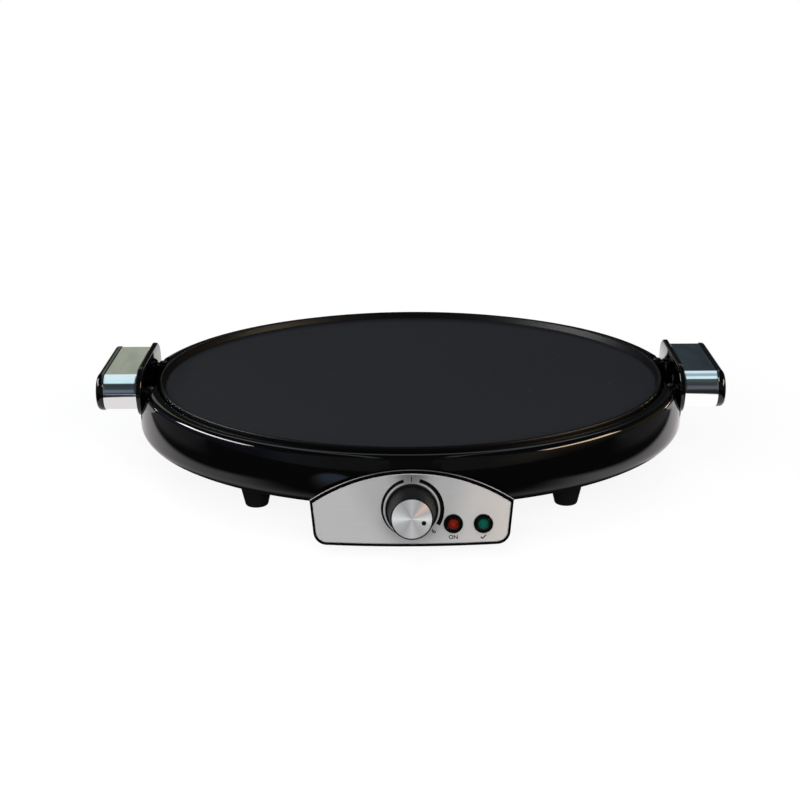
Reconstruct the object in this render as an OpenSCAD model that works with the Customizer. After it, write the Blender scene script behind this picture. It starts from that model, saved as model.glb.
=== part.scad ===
// Electric pancake maker: a coated round plate in a drum-shaped base, with a control panel at the front
// and a chrome-sleeved handle on each side. Millimetres, +Z up, panel towards -Y, handles on the X axis.
// The origin is on the counter, under the middle of the object's outline.

/* [Cooking plate] */
// Outside diameter of the cast plate
plate_d = 300; // [270:1:330]
// Thickness of the plate under the cooking surface
plate_t = 5; // [4:0.5:7]
// Height of the raised rim above the cooking surface
rim_h = 4.4; // [3:0.2:6]
// Width of the raised rim, from its outer face to the cooking surface
rim_w = 4.8; // [4:0.2:7]
// Radius of the rounded top of the rim
rim_round = 1.1; // [0.6:0.1:1.6]
// Radius of the fillet where the cooking surface meets the rim
rim_fillet = 1.6; // [0.8:0.1:2]
// Height of the rim's top above the shell's shoulder
rim_proud = 2; // [1:0.5:4]

/* [Base shell] */
// Height of the shell, from its bottom edge to its shoulder
shell_h = 28; // [26:0.5:36]
// Wall thickness of the shell
shell_wall = 2.6; // [2:0.1:3.2]
// Gap between the plate's edge and the shell's lip
plate_gap = 1.2; // [0.8:0.1:2.5]
// Flat width of the shoulder around the plate
shoulder_w = 5.2; // [4:0.2:8]
// Radius of the shoulder's outer edge
shoulder_round = 3.4; // [3.3:0.1:5]
// Distance that the wall swells outward below the shoulder
shell_bulge = 1.9; // [1:0.1:3]
// Height of the widest place above the shell's bottom edge
bulge_h = 8.5; // [7.5:0.5:11]
// Radius of the shell's bottom edge
bottom_round = 6; // [4:0.5:7]
// Width of the inner flange that the bottom cover is screwed to
flange_w = 4.5; // [4:0.5:6]

/* [Bottom cover and feet] */
// Height of the feet
foot_h = 16; // [14:0.5:24]
// Diameter of a foot at its top
foot_top_d = 20; // [16:0.2:20.4]
// Diameter of a foot where it stands
foot_bottom_d = 13; // [9:0.2:15]
// Radius of a foot's lower edge
foot_round = 1.4; // [0.5:0.1:2]
// Distance from a foot's axis to the edge of the cover's flat floor
foot_inset = 10.5; // [10.2:0.1:16]
// Sheet thickness of the bottom cover
cover_t = 1.6; // [1.2:0.1:2]
// Depth of the bottom cover below the shell's bottom edge
cover_depth = 8; // [6:0.5:10]
// Radial width of the cover's sloping wall
cover_slope_w = 16.5; // [12:0.5:20]
// Number of vent slots in the cover
vents = 16; // [8:1:20]
// Length of a vent slot
vent_l = 26; // [14:1:30]
// Width of a vent slot
vent_w = 3; // [2:0.5:4]
// Radius of the circle on which the vent slots start
vent_r = 40; // [36:1:44]

/* [Heating] */
// Distance from the heating element's ring to the circle of plate bolts
element_inset = 23; // [18:0.5:30]
// Diameter of the heating element's tube
element_d = 6.5; // [5.5:0.1:8]
// Half of the angle between the element's two ends
element_gap = 12; // [10:1:18]
// Wall of the ribs that hold the element
rib_t = 2.5; // [1.5:0.1:3]
// Sheet thickness of the heat shield
shield_t = 0.8; // [0.6:0.1:1.2]
// Distance from the plate's underside to the heat shield
shield_drop = 11.6; // [11:0.2:13]
// Distance from the heat shield's edge to the edge of the cover's flat floor
shield_inset = 2.2; // [1:0.2:6]
// Distance from the plate bolts to the heat shield's rising edge
bolt_inset = 6; // [5:0.5:9]
// Diameter of the plate bolts
bolt_d = 4; // [3:0.5:5]
// Diameter of the thermostat's sensor bulb
bulb_d = 6.4; // [5:0.2:7]
// Length of the thermostat's sensor bulb
bulb_l = 52; // [40:1:60]
// Diameter of the capillary tube
capillary_d = 2; // [1.6:0.1:2.4]

/* [Control panel] */
// Width of the panel at its shoulders
panel_w = 104.7; // [98:0.1:112]
// Height of the panel along its slope
panel_h = 40.5; // [40:0.1:42]
// Height of the panel's shoulders along its slope
panel_shoulder = 24.8; // [22:0.1:26]
// Backward tilt of the panel, in degrees
panel_tilt = 6; // [3:0.5:8]
// Inward lean of the panel's sides, in degrees
side_lean = 5.7; // [3:0.1:8]
// Radius of the panel's lower corners
panel_corner = 7; // [6:0.5:9]
// Radius of the panel's bowed bottom edge
bow_r = 880; // [600:10:1200]
// Drop from the shell's shoulder to the top of the panel
panel_drop = 5.5; // [5:0.1:7]
// Distance that the panel's lower edge stands out from the shell
panel_proud = 6.5; // [5.5:0.1:9]
// Width of the black frame around the fascia
bezel_w = 1.1; // [0.8:0.1:2]
// Extra width of that frame along the arch
bezel_top = 0.9; // [0:0.1:1.4]
// Distance that the neck behind the frame is set in from the frame's edge
neck_in = 2.6; // [2:0.1:2.8]
// Depth of the neck behind the panel's face
bezel_depth = 16; // [15:0.5:17]
// Wall thickness of the control housing
housing_wall = 1.8; // [1.6:0.1:2.2]
// Thickness of the fascia plate
fascia_t = 0.8; // [0.5:0.1:1.2]
// Distance that the fascia lies behind the frame's face
fascia_set = 0.5; // [0.2:0.1:1]
// Width of the box behind the panel
box_w = 88; // [84:0.5:90]
// Reach of that box behind the panel's lower edge
box_l = 50; // [48:0.5:54]
// Height of that box's floor above the panel's lower edge
box_rise = 2.6; // [2:0.1:3]

/* [Knob and thermostat] */
// Height of the knob's axis along the panel's slope
knob_s = 19.6; // [18:0.1:20]
// Height of the knob above the fascia
knob_h = 19.6; // [16:0.2:24]
// Diameter of the knob's flange
flange_d = 27.2; // [26:0.2:30]
// Diameter of the knob above its flange
knob_base_d = 25.2; // [23.6:0.2:25.8]
// Diameter of the knob at its front
knob_front_d = 21.6; // [21.2:0.1:23.4]
// Diameter of the metal cap in the knob's front
cap_d = 20.2; // [18:0.1:20.4]
// Diameter of the pointer dot
dot_d = 2.3; // [1.6:0.1:3]
// Distance of the pointer dot from the knob's axis
dot_r = 6.4; // [5:0.1:8]
// Angle of the pointer dot in the photographed setting
dot_angle = -19; // [-40:1:200]
// Diameter of the thermostat's spindle
spindle_d = 6; // [5:0.1:6.4]
// Diameter of the thermostat's threaded bush
bush_d = 10; // [9:0.1:11]
// Width of the thermostat's mounting plate
thermostat_d = 26; // [22:0.5:28]
// Depth of the thermostat's can
thermostat_l = 14; // [10:0.5:15]

/* [Lamps] */
// Distance of the power lamp from the knob's axis
lamp_x = 21.3; // [20:0.1:23]
// Distance between the two lamps
lamp_pitch = 15.4; // [14:0.1:15.8]
// Height of the lamps along the panel's slope
lamp_s = 12.1; // [11:0.1:14]
// Outside diameter of a lamp's bezel
lamp_bezel_d = 10; // [9.6:0.1:11]
// Diameter of a lamp's lens
lens_d = 7; // [6:0.1:7.4]

/* [Handles] */
// Distance from the plate's edge to the handle's heat guard
handle_gap = 6; // [6:0.1:9]
// Thickness of the heat guard
guard_t = 3.2; // [3:0.1:4]
// Length of the heat guard
guard_l = 84; // [82.6:0.2:90]
// Height of the heat guard
guard_h = 28.5; // [26:0.5:29]
// Length of the chrome sleeve, along the shell
sleeve_l = 82; // [72:0.2:82.4]
// Height of the chrome sleeve
sleeve_h = 21; // [18:0.2:22]
// Reach of the chrome sleeve, away from the shell
sleeve_w = 19.4; // [14:0.2:26]
// Wall thickness of the chrome sleeve
sleeve_t = 1.2; // [0.8:0.1:1.6]
// Thickness of the end cap
end_cap_t = 4.4; // [3.8:0.1:6]
// Overhang of the end cap around the sleeve
end_cap_lip = 0.5; // [0.2:0.1:1]
// Height of the sleeve's middle above the shell's shoulder, downwards negative
handle_rise = -1.5; // [-2:0.1:1]
// Half of the length of the recess in the shell at each handle
recess_half = 40; // [40:0.5:42]
// Height of the recess's floor above the shell's bottom edge
recess_rise = 11; // [10:0.5:11.3]
// Distance of a bracket arm's middle from the handle's middle
arm_y = 29; // [26:0.5:31]
// Width of a bracket arm
arm_w = 8; // [6.5:0.1:9]

/* [Cord entry] */
// Diameter of the bore for the mains cord
cord_bore_d = 7.2; // [6:0.1:8]
// Diameter of the gland's outer flange
gland_d = 16; // [15:0.2:17]
// Height of the cord bore above the shell's bottom edge
gland_rise = 5.5; // [5:0.1:7]

/* [Fits] */
// Clearance between fixed pieces
fit = 0.3; // [0.1:0.05:0.5]
// Radial clearance of a turning fit
run_fit = 0.05; // [0.02:0.01:0.1]

/* [Hidden] */
$fn = 96;
eps = 0.01;
far = 400;

// Clearance on a hole's diameter: of a hole that a screw bites in, and of one that it passes through
thread_clear = 0.1;
pass_clear = 0.4;

// Size of a screw's head, in diameters of its thread
head_d_ratio = 1.75;
head_h_ratio = 0.55;

// Heights above the counter, from the feet upwards
cover_z = foot_h;
shell_z = cover_z + cover_depth;
shoulder_z = shell_z + shell_h;
rim_z = shoulder_z + rim_proud;
surface_z = rim_z - rim_h;
under_z = surface_z - plate_t;
shield_z = under_z - shield_drop;
cover_top_z = cover_z + cover_t;
gland_z = shell_z + gland_rise;
recess_z = shell_z + recess_rise;
handle_z = shoulder_z + handle_rise;

// Radii about the plate's axis, from the plate outwards
plate_r = plate_d / 2;
surface_r = plate_r - rim_w;
lip_r = plate_r + plate_gap;
shoulder_r = lip_r + shoulder_w;
shell_r = shoulder_r + shoulder_round + shell_bulge;
guard_x = plate_r + handle_gap;

// The wall is one arc, tangent to the shoulder's edge and to the bottom edge
wall_rise = shell_h - shoulder_round - bulge_h;
wall_r = (shell_bulge ^ 2 + wall_rise ^ 2) / (2 * shell_bulge) + shoulder_round;
wall_c = shell_r - wall_r;
bulge_z = shell_z + bulge_h;
wall_top_a = asin(wall_rise / (wall_r - shoulder_round));
wall_low_a = asin((bulge_h - bottom_round) / (wall_r - bottom_round));
bottom_c = wall_c + (wall_r - bottom_round) * cos(wall_low_a);

// The bottom cover lies in a step inside the shell's bottom edge
cover_step = 0.2;
step_edge = 0.5;
cover_lap = 1;
cover_rim_z = shell_z + cover_step;
cover_seat_z = cover_rim_z + cover_t;
step_r = bottom_c - step_edge;
cover_r = step_r - fit;
flange_r = step_r - flange_w;
flange_top_z = cover_seat_z + shell_wall;
cover_rim_r = flange_r - cover_lap;
floor_r = cover_rim_r - cover_slope_w;
cover_bend = cover_t * tan(atan2(cover_rim_z - cover_z, cover_slope_w) / 2);
foot_r = floor_r - foot_inset;

// Heating parts, from the heat shield's edge inwards
shield_lip_w = 7;
shield_r = floor_r - shield_inset;
bolt_circle_r = shield_r - shield_lip_w - bolt_inset;
element_r = bolt_circle_r - element_inset;

// The panel's own frame: x across, y up the slope, z out of the face, from the middle of its lower edge
panel_z = shoulder_z - panel_drop - panel_h * cos(panel_tilt);
panel_y = -(shell_r + panel_proud);
arch_drop = panel_h - panel_shoulder;
arch_r = (arch_drop ^ 2 + (panel_w / 2) ^ 2) / (2 * arch_drop);
fascia_z = -fascia_set;
face_z = fascia_z - fascia_t;
wall_back_z = face_z - housing_wall;
hood_r = shoulder_r - shell_wall;
box_z = panel_z + box_rise;
box_back_y = panel_y + box_l;

// The knob stands a little off the fascia, and the origin is midway between the knob and the cord gland
knob_gap = 0.4;
knob_z = fascia_z + knob_gap;
knob_top_z = knob_z + knob_h;
cap_t = 1;
cap_edge = 0.4;
gland_lip = 3;
gland_back_y = shell_r + gland_lip;
knob_front_y = panel_y + knob_s * sin(panel_tilt) - knob_top_z * cos(panel_tilt)
    - (cap_d / 2 - cap_edge) * sin(panel_tilt);
axis_y = -(gland_back_y + knob_front_y) / 2;

// Points of an arc about centre c, from angle a to angle b
function arc(c, r, a, b, n = 8) = [for (i = [0:n]) let (t = a + (b - a) * i / n) c + r * [cos(t), sin(t)]];

// Puts a piece that is modelled about the plate's axis in the object's frame
module placed() translate([0, axis_y, 0]) children();

// Puts a piece that is modelled on the panel's face in the plate's frame
module on_panel(x = 0, s = 0) translate([0, panel_y, panel_z]) rotate([90 - panel_tilt, 0, 0])
    translate([x, s, 0]) children();

// A ring about Z
module tube(r, bore, h, z = 0) translate([0, 0, z]) difference() {
    cylinder(r = r, h = h);
    translate([0, 0, -eps]) cylinder(r = bore, h = h + 2 * eps);
}

// A screw that points up Z, with its head below z = 0
module screw(d, l) {
    cylinder(d = d, h = l);
    translate([0, 0, -head_h_ratio * d]) cylinder(d = head_d_ratio * d, h = head_h_ratio * d);
}

// A round tube along points, with its section turned about the fixed direction side
module swept(points, d, side, n = 8) {
    last = len(points) - 1;
    function along(i) = let (v = points[min(i + 1, last)] - points[max(i - 1, 0)]) v / norm(v);
    function ring(i) = let (u = cross(along(i), side), a = u / norm(u), b = cross(along(i), a))
        [for (k = [0:n - 1]) points[i] + d / 2 * (cos(360 * k / n) * a + sin(360 * k / n) * b)];
    sides = [for (i = [0:last - 1], k = [0:n - 1]) each [
        [i * n + k, (i + 1) * n + k, (i + 1) * n + (k + 1) % n],
        [i * n + k, (i + 1) * n + (k + 1) % n, i * n + (k + 1) % n]]];
    polyhedron([for (i = [0:last]) each ring(i)], concat(sides,
        [[for (k = [0:n - 1]) k]], [[for (k = [0:n - 1]) last * n + n - 1 - k]]), convexity = 6);
}

// Round ended plate, l by h, t thick along Z, with a rounded edge on its upper face
module pill(l, h, t, edge) {
    half = concat([[0, 0], [h / 2, 0]], arc([h / 2 - edge, t - edge], edge, 0, 90, 5), [[0, t]]);
    for (side = [0, 1]) mirror([side, 0, 0]) translate([(l - h) / 2, 0, 0])
        rotate([0, 0, -90]) rotate_extrude(angle = 180) polygon(half);
    translate([-(l - h) / 2, 0, 0]) rotate([90, 0, 90]) linear_extrude(l - h)
        polygon(concat(half, [for (i = [len(half) - 2:-1:1]) [-half[i][0], half[i][1]]]));
}

// Cast aluminium plate: a disc with a rounded raised rim, ribs for the element and bosses underneath
boss_h = 6;
boss_d = 11;
element_z = under_z - fit - element_d / 2;
rib_h = element_d + 2 * fit;
clamp_boss_d = 8;
clamp_boss_join = 0.8;
clamp_reach = element_d / 2 + fit + rib_t + clamp_boss_d / 2 - clamp_boss_join;
clamp_screw_d = 3;
clamp_screw_l = 7;
bolt_bite = 1;
tip_gap = 0.3;
bolt_turn = 22.5;
clamp_angles = [for (i = [0:3]) bolt_turn + 90 * i - 45];
plate_edge = 1;
rim_lean = 25;
module plate_section() polygon(concat(
    [[0, under_z], [plate_r - plate_edge, under_z], [plate_r, under_z + plate_edge]],
    arc([plate_r - rim_round, rim_z - rim_round], rim_round, 0, 180 - rim_lean),
    arc([surface_r, surface_z + rim_fillet], rim_fillet, -rim_lean, -90, 5), [[0, surface_z]]));
module at_bolts() for (i = [0:3]) rotate([0, 0, bolt_turn + 90 * i])
    translate([bolt_circle_r, 0, 0]) children();
module at_clamp_screws() for (a = clamp_angles, side = [-1, 1]) rotate([0, 0, a])
    translate([element_r + side * clamp_reach, 0, 0]) children();
module cooking_plate() color("#26282b") difference() {
    union() {
        rotate_extrude() plate_section();
        for (side = [-1, 1]) rotate_extrude()
            translate([element_r + side * (element_d + 2 * fit + rib_t) / 2 - rib_t / 2, under_z - rib_h])
                square([rib_t, rib_h + eps]);
        at_bolts() translate([0, 0, under_z - boss_h]) cylinder(d = boss_d, h = boss_h + eps);
        at_clamp_screws() translate([0, 0, under_z - rib_h]) cylinder(d = clamp_boss_d, h = rib_h + eps);
    }
    at_bolts() translate([0, 0, under_z - boss_h - eps])
        cylinder(d = bolt_d + thread_clear, h = boss_h + bolt_bite + tip_gap);
    at_clamp_screws() translate([0, 0, under_z - rib_h - eps])
        cylinder(d = clamp_screw_d + thread_clear, h = clamp_screw_l - clamp_t + tip_gap);
}

// Sheathed heating tube bent to a ring, with an insulator and a pin on each end
pin_d = 3;
bead_d = element_d + fit;
bead_h = 13;
pin_h = 7;
module heating_element() color("#5c4a40") {
    rotate([0, 0, -90 + element_gap]) rotate_extrude(angle = 360 - 2 * element_gap)
        translate([element_r, element_z]) circle(d = element_d);
    for (side = [-1, 1]) rotate([0, 0, -90 + side * element_gap]) translate([element_r, 0, element_z]) {
        translate([0, 0, element_d / 2 - bead_h]) cylinder(d = bead_d, h = bead_h);
        translate([0, 0, element_d / 2 - bead_h - pin_h]) cylinder(d = pin_d, h = pin_h + 1);
    }
}

// Steel straps that hold the element up against the plate
clamp_t = 1.2;
clamp_w = 10;
clamp_z = under_z - rib_h - clamp_t;
module element_clamps() color("#8a8d90") difference() {
    for (a = clamp_angles) rotate([0, 0, a])
        translate([element_r - clamp_reach - clamp_w / 2, -clamp_w / 2, clamp_z])
            cube([2 * clamp_reach + clamp_w, clamp_w, clamp_t]);
    at_clamp_screws() translate([0, 0, clamp_z - eps])
        cylinder(d = clamp_screw_d + pass_clear, h = clamp_t + 2 * eps);
}
module clamp_screws() color("#a8abad")
    at_clamp_screws() translate([0, 0, clamp_z]) screw(clamp_screw_d, clamp_screw_l);

// Pressed steel dish that keeps the heat off the base
shield_rise = 6;
notch_w = 26;
notch_in = 5;
bead_clear = 2;
module heat_shield() color("#9b9ea1") difference() {
    rotate_extrude() polygon([[0, shield_z], [shield_r - shield_lip_w, shield_z],
        [shield_r, shield_z + shield_rise], [shield_r, shield_z + shield_rise + shield_t],
        [shield_r - shield_lip_w, shield_z + shield_t], [0, shield_z + shield_t]]);
    at_bolts() translate([0, 0, shield_z - 1]) cylinder(d = bolt_d + pass_clear, h = shield_t + 2);
    for (side = [-1, 1]) rotate([0, 0, -90 + side * element_gap]) translate([element_r, 0, shield_z - 1])
        cylinder(d = bead_d + 2 * bead_clear, h = shield_t + 2);
    translate([-notch_w / 2, -far, shield_z - 1])
        cube([notch_w, far - shield_r + shield_lip_w + notch_in, far]);
}

// Steel tubes that hold the plate, the shield and the cover apart, and the bolts through them
spacer_d = 9;
module spacers(low, high) color("#b0b3b5")
    at_bolts() tube(spacer_d / 2, (bolt_d + pass_clear) / 2, high - low, low);
module upper_spacers() spacers(shield_z + shield_t, under_z - boss_h);
module lower_spacers() spacers(cover_top_z, shield_z);
module plate_bolts() color("#a8abad") at_bolts() translate([0, 0, cover_z])
    screw(bolt_d, under_z - cover_z + bolt_bite);

// Section of the shell's outside, to the axis, thinner all round by inset
module shell_section(inset = 0) polygon(concat(
    [[0, shell_z + inset]], arc([bottom_c, shell_z + bottom_round], bottom_round - inset, -90, -wall_low_a),
    arc([wall_c, bulge_z], wall_r - inset, -wall_low_a, wall_top_a),
    arc([shoulder_r, shoulder_z - shoulder_round], shoulder_round - inset, wall_top_a, 90),
    [[0, shoulder_z - inset]]));

// Recess at a handle: a tray moulded into the shell, whose floor carries the bracket
tray_t = 2.4;
tray_in = plate_r - tray_t;
tray_top_z = under_z - pass_clear;
module recess_tray() intersection() {
    translate([tray_in, -recess_half - tray_t, recess_z - tray_t])
        cube([far, 2 * (recess_half + tray_t), far]);
    rotate_extrude() difference() {
        shell_section();
        translate([0, -far / 2]) square([lip_r, far]);
    }
}
module recess_floor() intersection() {
    translate([tray_in, -recess_half - tray_t, recess_z - tray_t])
        cube([far, 2 * (recess_half + tray_t), tray_top_z - recess_z + tray_t]);
    rotate_extrude() shell_section(shell_wall / 2);
}
module recess_void() translate([plate_r, -recess_half, recess_z]) cube([far, 2 * recess_half, far]);

// Moulded base shell: a bulged wall with a rounded shoulder, an inner flange and screw bosses, a recess at
// each handle, an opening for the control housing and a slot for the cord gland
cover_screw_angles = [30, 70, 110, 150, 215, 325];
cover_screw_d = 2.9;
cover_screw_l = 8;
cover_boss_d = 7;
cover_boss_h = 8;
cover_screw_r = (cover_rim_r + cover_r) / 2;
module at_cover_screws() for (a = cover_screw_angles) rotate([0, 0, a])
    translate([cover_screw_r, 0, 0]) children();
bracket_screw_d = 2.9;
bracket_boss_d = 7.4;
bracket_boss_h = 5;
bracket_boss_floor = 1;
arm_x = plate_r + pass_clear;
bracket_screw_in = 2.4;
bracket_screw_x = arm_x + bracket_screw_in;
module at_bracket_screws() for (side = [-1, 1]) translate([bracket_screw_x, side * arm_y, 0]) children();
gland_neck_d = 11;
gland_in_d = 15;
gland_in_l = 8;
panel_reach = 40;
module both_sides() for (side = [0, 1]) mirror([side, 0, 0]) children();
module panel_opening() on_panel() {
    translate([0, 0, -panel_reach]) linear_extrude(2 * panel_reach) panel_outline(neck_in - fit);
    translate([0, 0, wall_back_z - fit]) linear_extrude(panel_reach) panel_outline(-fit);
}
gland_room = 6;
module gland_slot() {
    wide = gland_in_d / 2 + fit;
    neck = gland_neck_d / 2 + fit;
    inside_y = shell_r - shell_wall;
    translate([-wide, inside_y - gland_in_l - gland_room, shell_z - far])
        cube([2 * wide, gland_in_l + gland_room - fit, far + gland_rise + wide]);
    translate([-neck, inside_y - 1, shell_z - far]) cube([2 * neck, far, far + gland_rise]);
    translate([0, inside_y - 1, gland_z]) rotate([-90, 0, 0]) cylinder(r = neck, h = far);
}
module base_shell() color("#0d0d0f") difference() {
    union() {
        rotate_extrude() difference() {
            shell_section();
            difference() {
                shell_section(shell_wall);
                square([far, flange_top_z]);
            }
            square([lip_r, 2 * far]);
        }
        rotate_extrude() intersection() {
            shell_section();
            translate([flange_r, 0]) square([far, flange_top_z]);
        }
        at_cover_screws() translate([0, 0, cover_seat_z]) cylinder(d = cover_boss_d, h = cover_boss_h);
        both_sides() {
            recess_tray();
            recess_floor();
            at_bracket_screws() translate([0, 0, recess_z - bracket_boss_h])
                cylinder(d = bracket_boss_d, h = bracket_boss_h);
        }
    }
    both_sides() {
        recess_void();
        at_bracket_screws() translate([0, 0, recess_z - bracket_boss_h + bracket_boss_floor])
            cylinder(d = bracket_screw_d + thread_clear, h = bracket_boss_h);
    }
    translate([0, 0, shell_z - 1]) cylinder(r = step_r, h = cover_seat_z - shell_z + 1);
    at_cover_screws() translate([0, 0, cover_rim_z])
        cylinder(d = cover_screw_d + thread_clear, h = cover_screw_l + tip_gap);
    panel_opening();
    gland_slot();
}

// Pressed steel bottom cover: a shallow pan with vent slots, cut away over the control housing
cover_lap_x = 30;
cover_lap_y = 10;
module cover_section() polygon([
    [0, cover_z], [floor_r, cover_z], [cover_rim_r, cover_rim_z], [cover_r, cover_rim_z],
    [cover_r, cover_seat_z], [cover_rim_r - cover_bend, cover_seat_z],
    [floor_r - cover_bend, cover_top_z], [0, cover_top_z]]);
module cover_outside() rotate_extrude() polygon([
    [0, cover_z - fit], [floor_r, cover_z - fit], [cover_rim_r, cover_rim_z - fit],
    [far, cover_rim_z - fit], [far, far], [0, far]]);
module at_feet() for (a = [45:90:315]) rotate([0, 0, a]) translate([foot_r, 0, 0]) children();
foot_screw_d = 3.5;
foot_screw_l = 11;
housing_screw_d = 3;
housing_boss_d = 8;
housing_boss_join = 0.8;
housing_screw_x = box_w / 2 - housing_boss_d;
housing_screw_y = box_back_y - housing_wall - housing_boss_d / 2 + housing_boss_join;
module at_housing_screws() for (side = [-1, 1])
    translate([side * housing_screw_x, housing_screw_y, 0]) children();
module bottom_cover() color("#1a1a1c") difference() {
    rotate_extrude() cover_section();
    for (i = [0:vents - 1]) rotate([0, 0, 360 * (i + 0.5) / vents])
        translate([vent_r, -vent_w / 2, cover_z - 1]) cube([vent_l, vent_w, cover_t + 2]);
    at_bolts() translate([0, 0, cover_z - 1]) cylinder(d = bolt_d + pass_clear, h = cover_t + 2);
    at_feet() translate([0, 0, cover_z - 1]) cylinder(d = foot_screw_d + pass_clear, h = cover_t + 2);
    at_cover_screws() translate([0, 0, shell_z - 1])
        cylinder(d = cover_screw_d + pass_clear, h = cover_t + 3);
    at_housing_screws() translate([0, 0, cover_z - 1]) cylinder(d = housing_screw_d + thread_clear, h = far);
    on_panel() translate([0, 0, -bezel_depth - fit]) linear_extrude(far) panel_outline(neck_in - fit);
    translate([-cover_lap_x, panel_y, 0]) cube([2 * cover_lap_x, box_l - housing_wall - cover_lap_y, far]);
    gland_slot();
}
module cover_screws() color("#a8abad")
    at_cover_screws() translate([0, 0, cover_rim_z]) screw(cover_screw_d, cover_screw_l);

// Conical moulded foot with a rounded lower edge, held by a screw from inside the base
module foot(x, y) color("#141416") rotate([0, 0, atan2(y, x)]) translate([foot_r, 0, 0]) difference() {
    rotate_extrude() polygon(concat([[0, 0]],
        arc([foot_bottom_d / 2 - foot_round, foot_round], foot_round, -90, -10, 5),
        [[foot_top_d / 2, cover_z], [0, cover_z]]));
    translate([0, 0, cover_z - foot_screw_l - tip_gap]) cylinder(d = foot_screw_d + thread_clear, h = far);
}
module foot_screws() color("#a8abad") at_feet() translate([0, 0, cover_top_z]) mirror([0, 0, 1])
    screw(foot_screw_d, foot_screw_l + cover_t);

// Outline of the control panel, smaller all round by inset and by arch_in more along its arch: a slightly
// bowed lower edge, rounded lower corners, sides that lean in and an arched top
corner_x0 = panel_w / 2 - (panel_shoulder - panel_corner) * tan(side_lean) - panel_corner / cos(side_lean);
corner_s0 = bow_r - sqrt((bow_r - panel_corner) ^ 2 - corner_x0 ^ 2);
corner_x = panel_w / 2 - (panel_shoulder - corner_s0) * tan(side_lean) - panel_corner / cos(side_lean);
corner_s = bow_r - sqrt((bow_r - panel_corner) ^ 2 - corner_x ^ 2);
bow_a = atan2(corner_x, bow_r - corner_s);
bow_share = 0.9;
arch_n = 32;
module panel_outline(inset = 0, arch_in = 0) {
    r = panel_corner - inset;
    top_r = arch_r - inset - arch_in;
    arch_c = [0, panel_h - arch_r];
    foot_of_side = [corner_x, corner_s] + r * [cos(side_lean), -sin(side_lean)];
    up = [sin(side_lean), cos(side_lean)];
    w = foot_of_side - arch_c;
    along = -w * up + sqrt((w * up) ^ 2 - w * w + top_r ^ 2);
    shoulder = w + along * up;
    arch_a = atan2(shoulder[1], shoulder[0]);
    polygon(concat(
        arc([0, bow_r], bow_r - inset, -90 - bow_share * bow_a, -90 + bow_share * bow_a),
        arc([corner_x, corner_s], r, -90 + bow_a, -side_lean),
        arc(arch_c, top_r, arch_a, 180 - arch_a, arch_n),
        arc([-corner_x, corner_s], r, 180 + side_lean, 270 - bow_a)));
}

// Moulded control housing: the arched frame with the wall behind the fascia, the neck that passes through
// the shell, and the box under the base that holds the thermostat
lamp_barrel_d = 8;
lamp_places = [lamp_x, lamp_x + lamp_pitch];
front_reach = 10;
box_join = 2;
box_front = 4;
screw_sink = 2.4;
housing_screw_bite = 3;
module panel_holes() {
    on_panel(0, knob_s) translate([0, 0, -front_reach]) cylinder(d = bush_d + fit, h = 2 * front_reach);
    for (x = lamp_places) on_panel(x, lamp_s) translate([0, 0, -front_reach])
        cylinder(d = lamp_barrel_d + fit, h = 2 * front_reach);
}
module control_housing() color("#101012") difference() {
    union() {
        difference() {
            union() {
                on_panel() translate([0, 0, -bezel_depth]) linear_extrude(bezel_depth)
                    panel_outline(neck_in);
                translate([-box_w / 2, panel_y + bezel_depth - box_join, box_z])
                    cube([box_w, box_l - bezel_depth + box_join, shell_z - box_z]);
            }
            on_panel() translate([0, 0, housing_wall - bezel_depth])
                linear_extrude(bezel_depth - housing_wall + wall_back_z)
                    panel_outline(neck_in + housing_wall);
            translate([housing_wall - box_w / 2, panel_y + housing_wall + box_front, box_z + housing_wall])
                cube([box_w - 2 * housing_wall, box_l - 2 * housing_wall - box_front, far]);
        }
        on_panel() translate([0, 0, wall_back_z]) linear_extrude(-wall_back_z) panel_outline();
        at_housing_screws() translate([0, 0, box_z]) cylinder(d = housing_boss_d, h = shell_z - box_z);
    }
    on_panel() translate([0, 0, face_z]) linear_extrude(front_reach) panel_outline(bezel_w, bezel_top);
    panel_holes();
    at_housing_screws() translate([0, 0, box_z - 1]) {
        cylinder(d = housing_screw_d + pass_clear, h = far);
        cylinder(d = head_d_ratio * housing_screw_d + 2 * pass_clear, h = 1 + screw_sink);
    }
    translate([0, 0, cover_rim_z - fit]) cylinder(r = hood_r, h = far);
    intersection() {
        cover_outside();
        translate([-far / 2, panel_y + bezel_depth * cos(panel_tilt), 0]) cube(far);
    }
}
module housing_screws() color("#a8abad")
    at_housing_screws() translate([0, 0, box_z + screw_sink])
        screw(housing_screw_d, cover_top_z - box_z - screw_sink + housing_screw_bite);

// Brushed fascia that lies in the frame
module fascia_plate() color("#b9bbbd") difference() {
    on_panel() translate([0, 0, face_z]) linear_extrude(fascia_t)
        panel_outline(bezel_w + fit / 2, bezel_top);
    panel_holes();
}

// Capillary thermostat behind the panel: a can on a plate, with a bush that the nut pulls up to the panel
thermostat_plate_t = 2;
thermostat_plate_h = 18;
thermostat_floor = 2;
nut_h = 2.6;
nut_flats = 13;
bush_proud = 0.6;
can_z = wall_back_z - thermostat_plate_t;
can_back_z = can_z - thermostat_l;
can_in = 1;
can_d = thermostat_d - 2 * can_in;
module thermostat_body() color("#c9c6bd") on_panel(0, knob_s) difference() {
    union() {
        translate([-thermostat_d / 2, -thermostat_plate_h / 2, can_z])
            cube([thermostat_d, thermostat_plate_h, thermostat_plate_t]);
        translate([0, 0, can_back_z]) cylinder(d = can_d, h = thermostat_l + eps);
        translate([0, 0, can_z]) cylinder(d = bush_d, h = fascia_z - can_z + nut_h + bush_proud);
    }
    translate([0, 0, can_back_z + thermostat_floor]) cylinder(d = spindle_d + 2 * run_fit, h = far);
}
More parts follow.
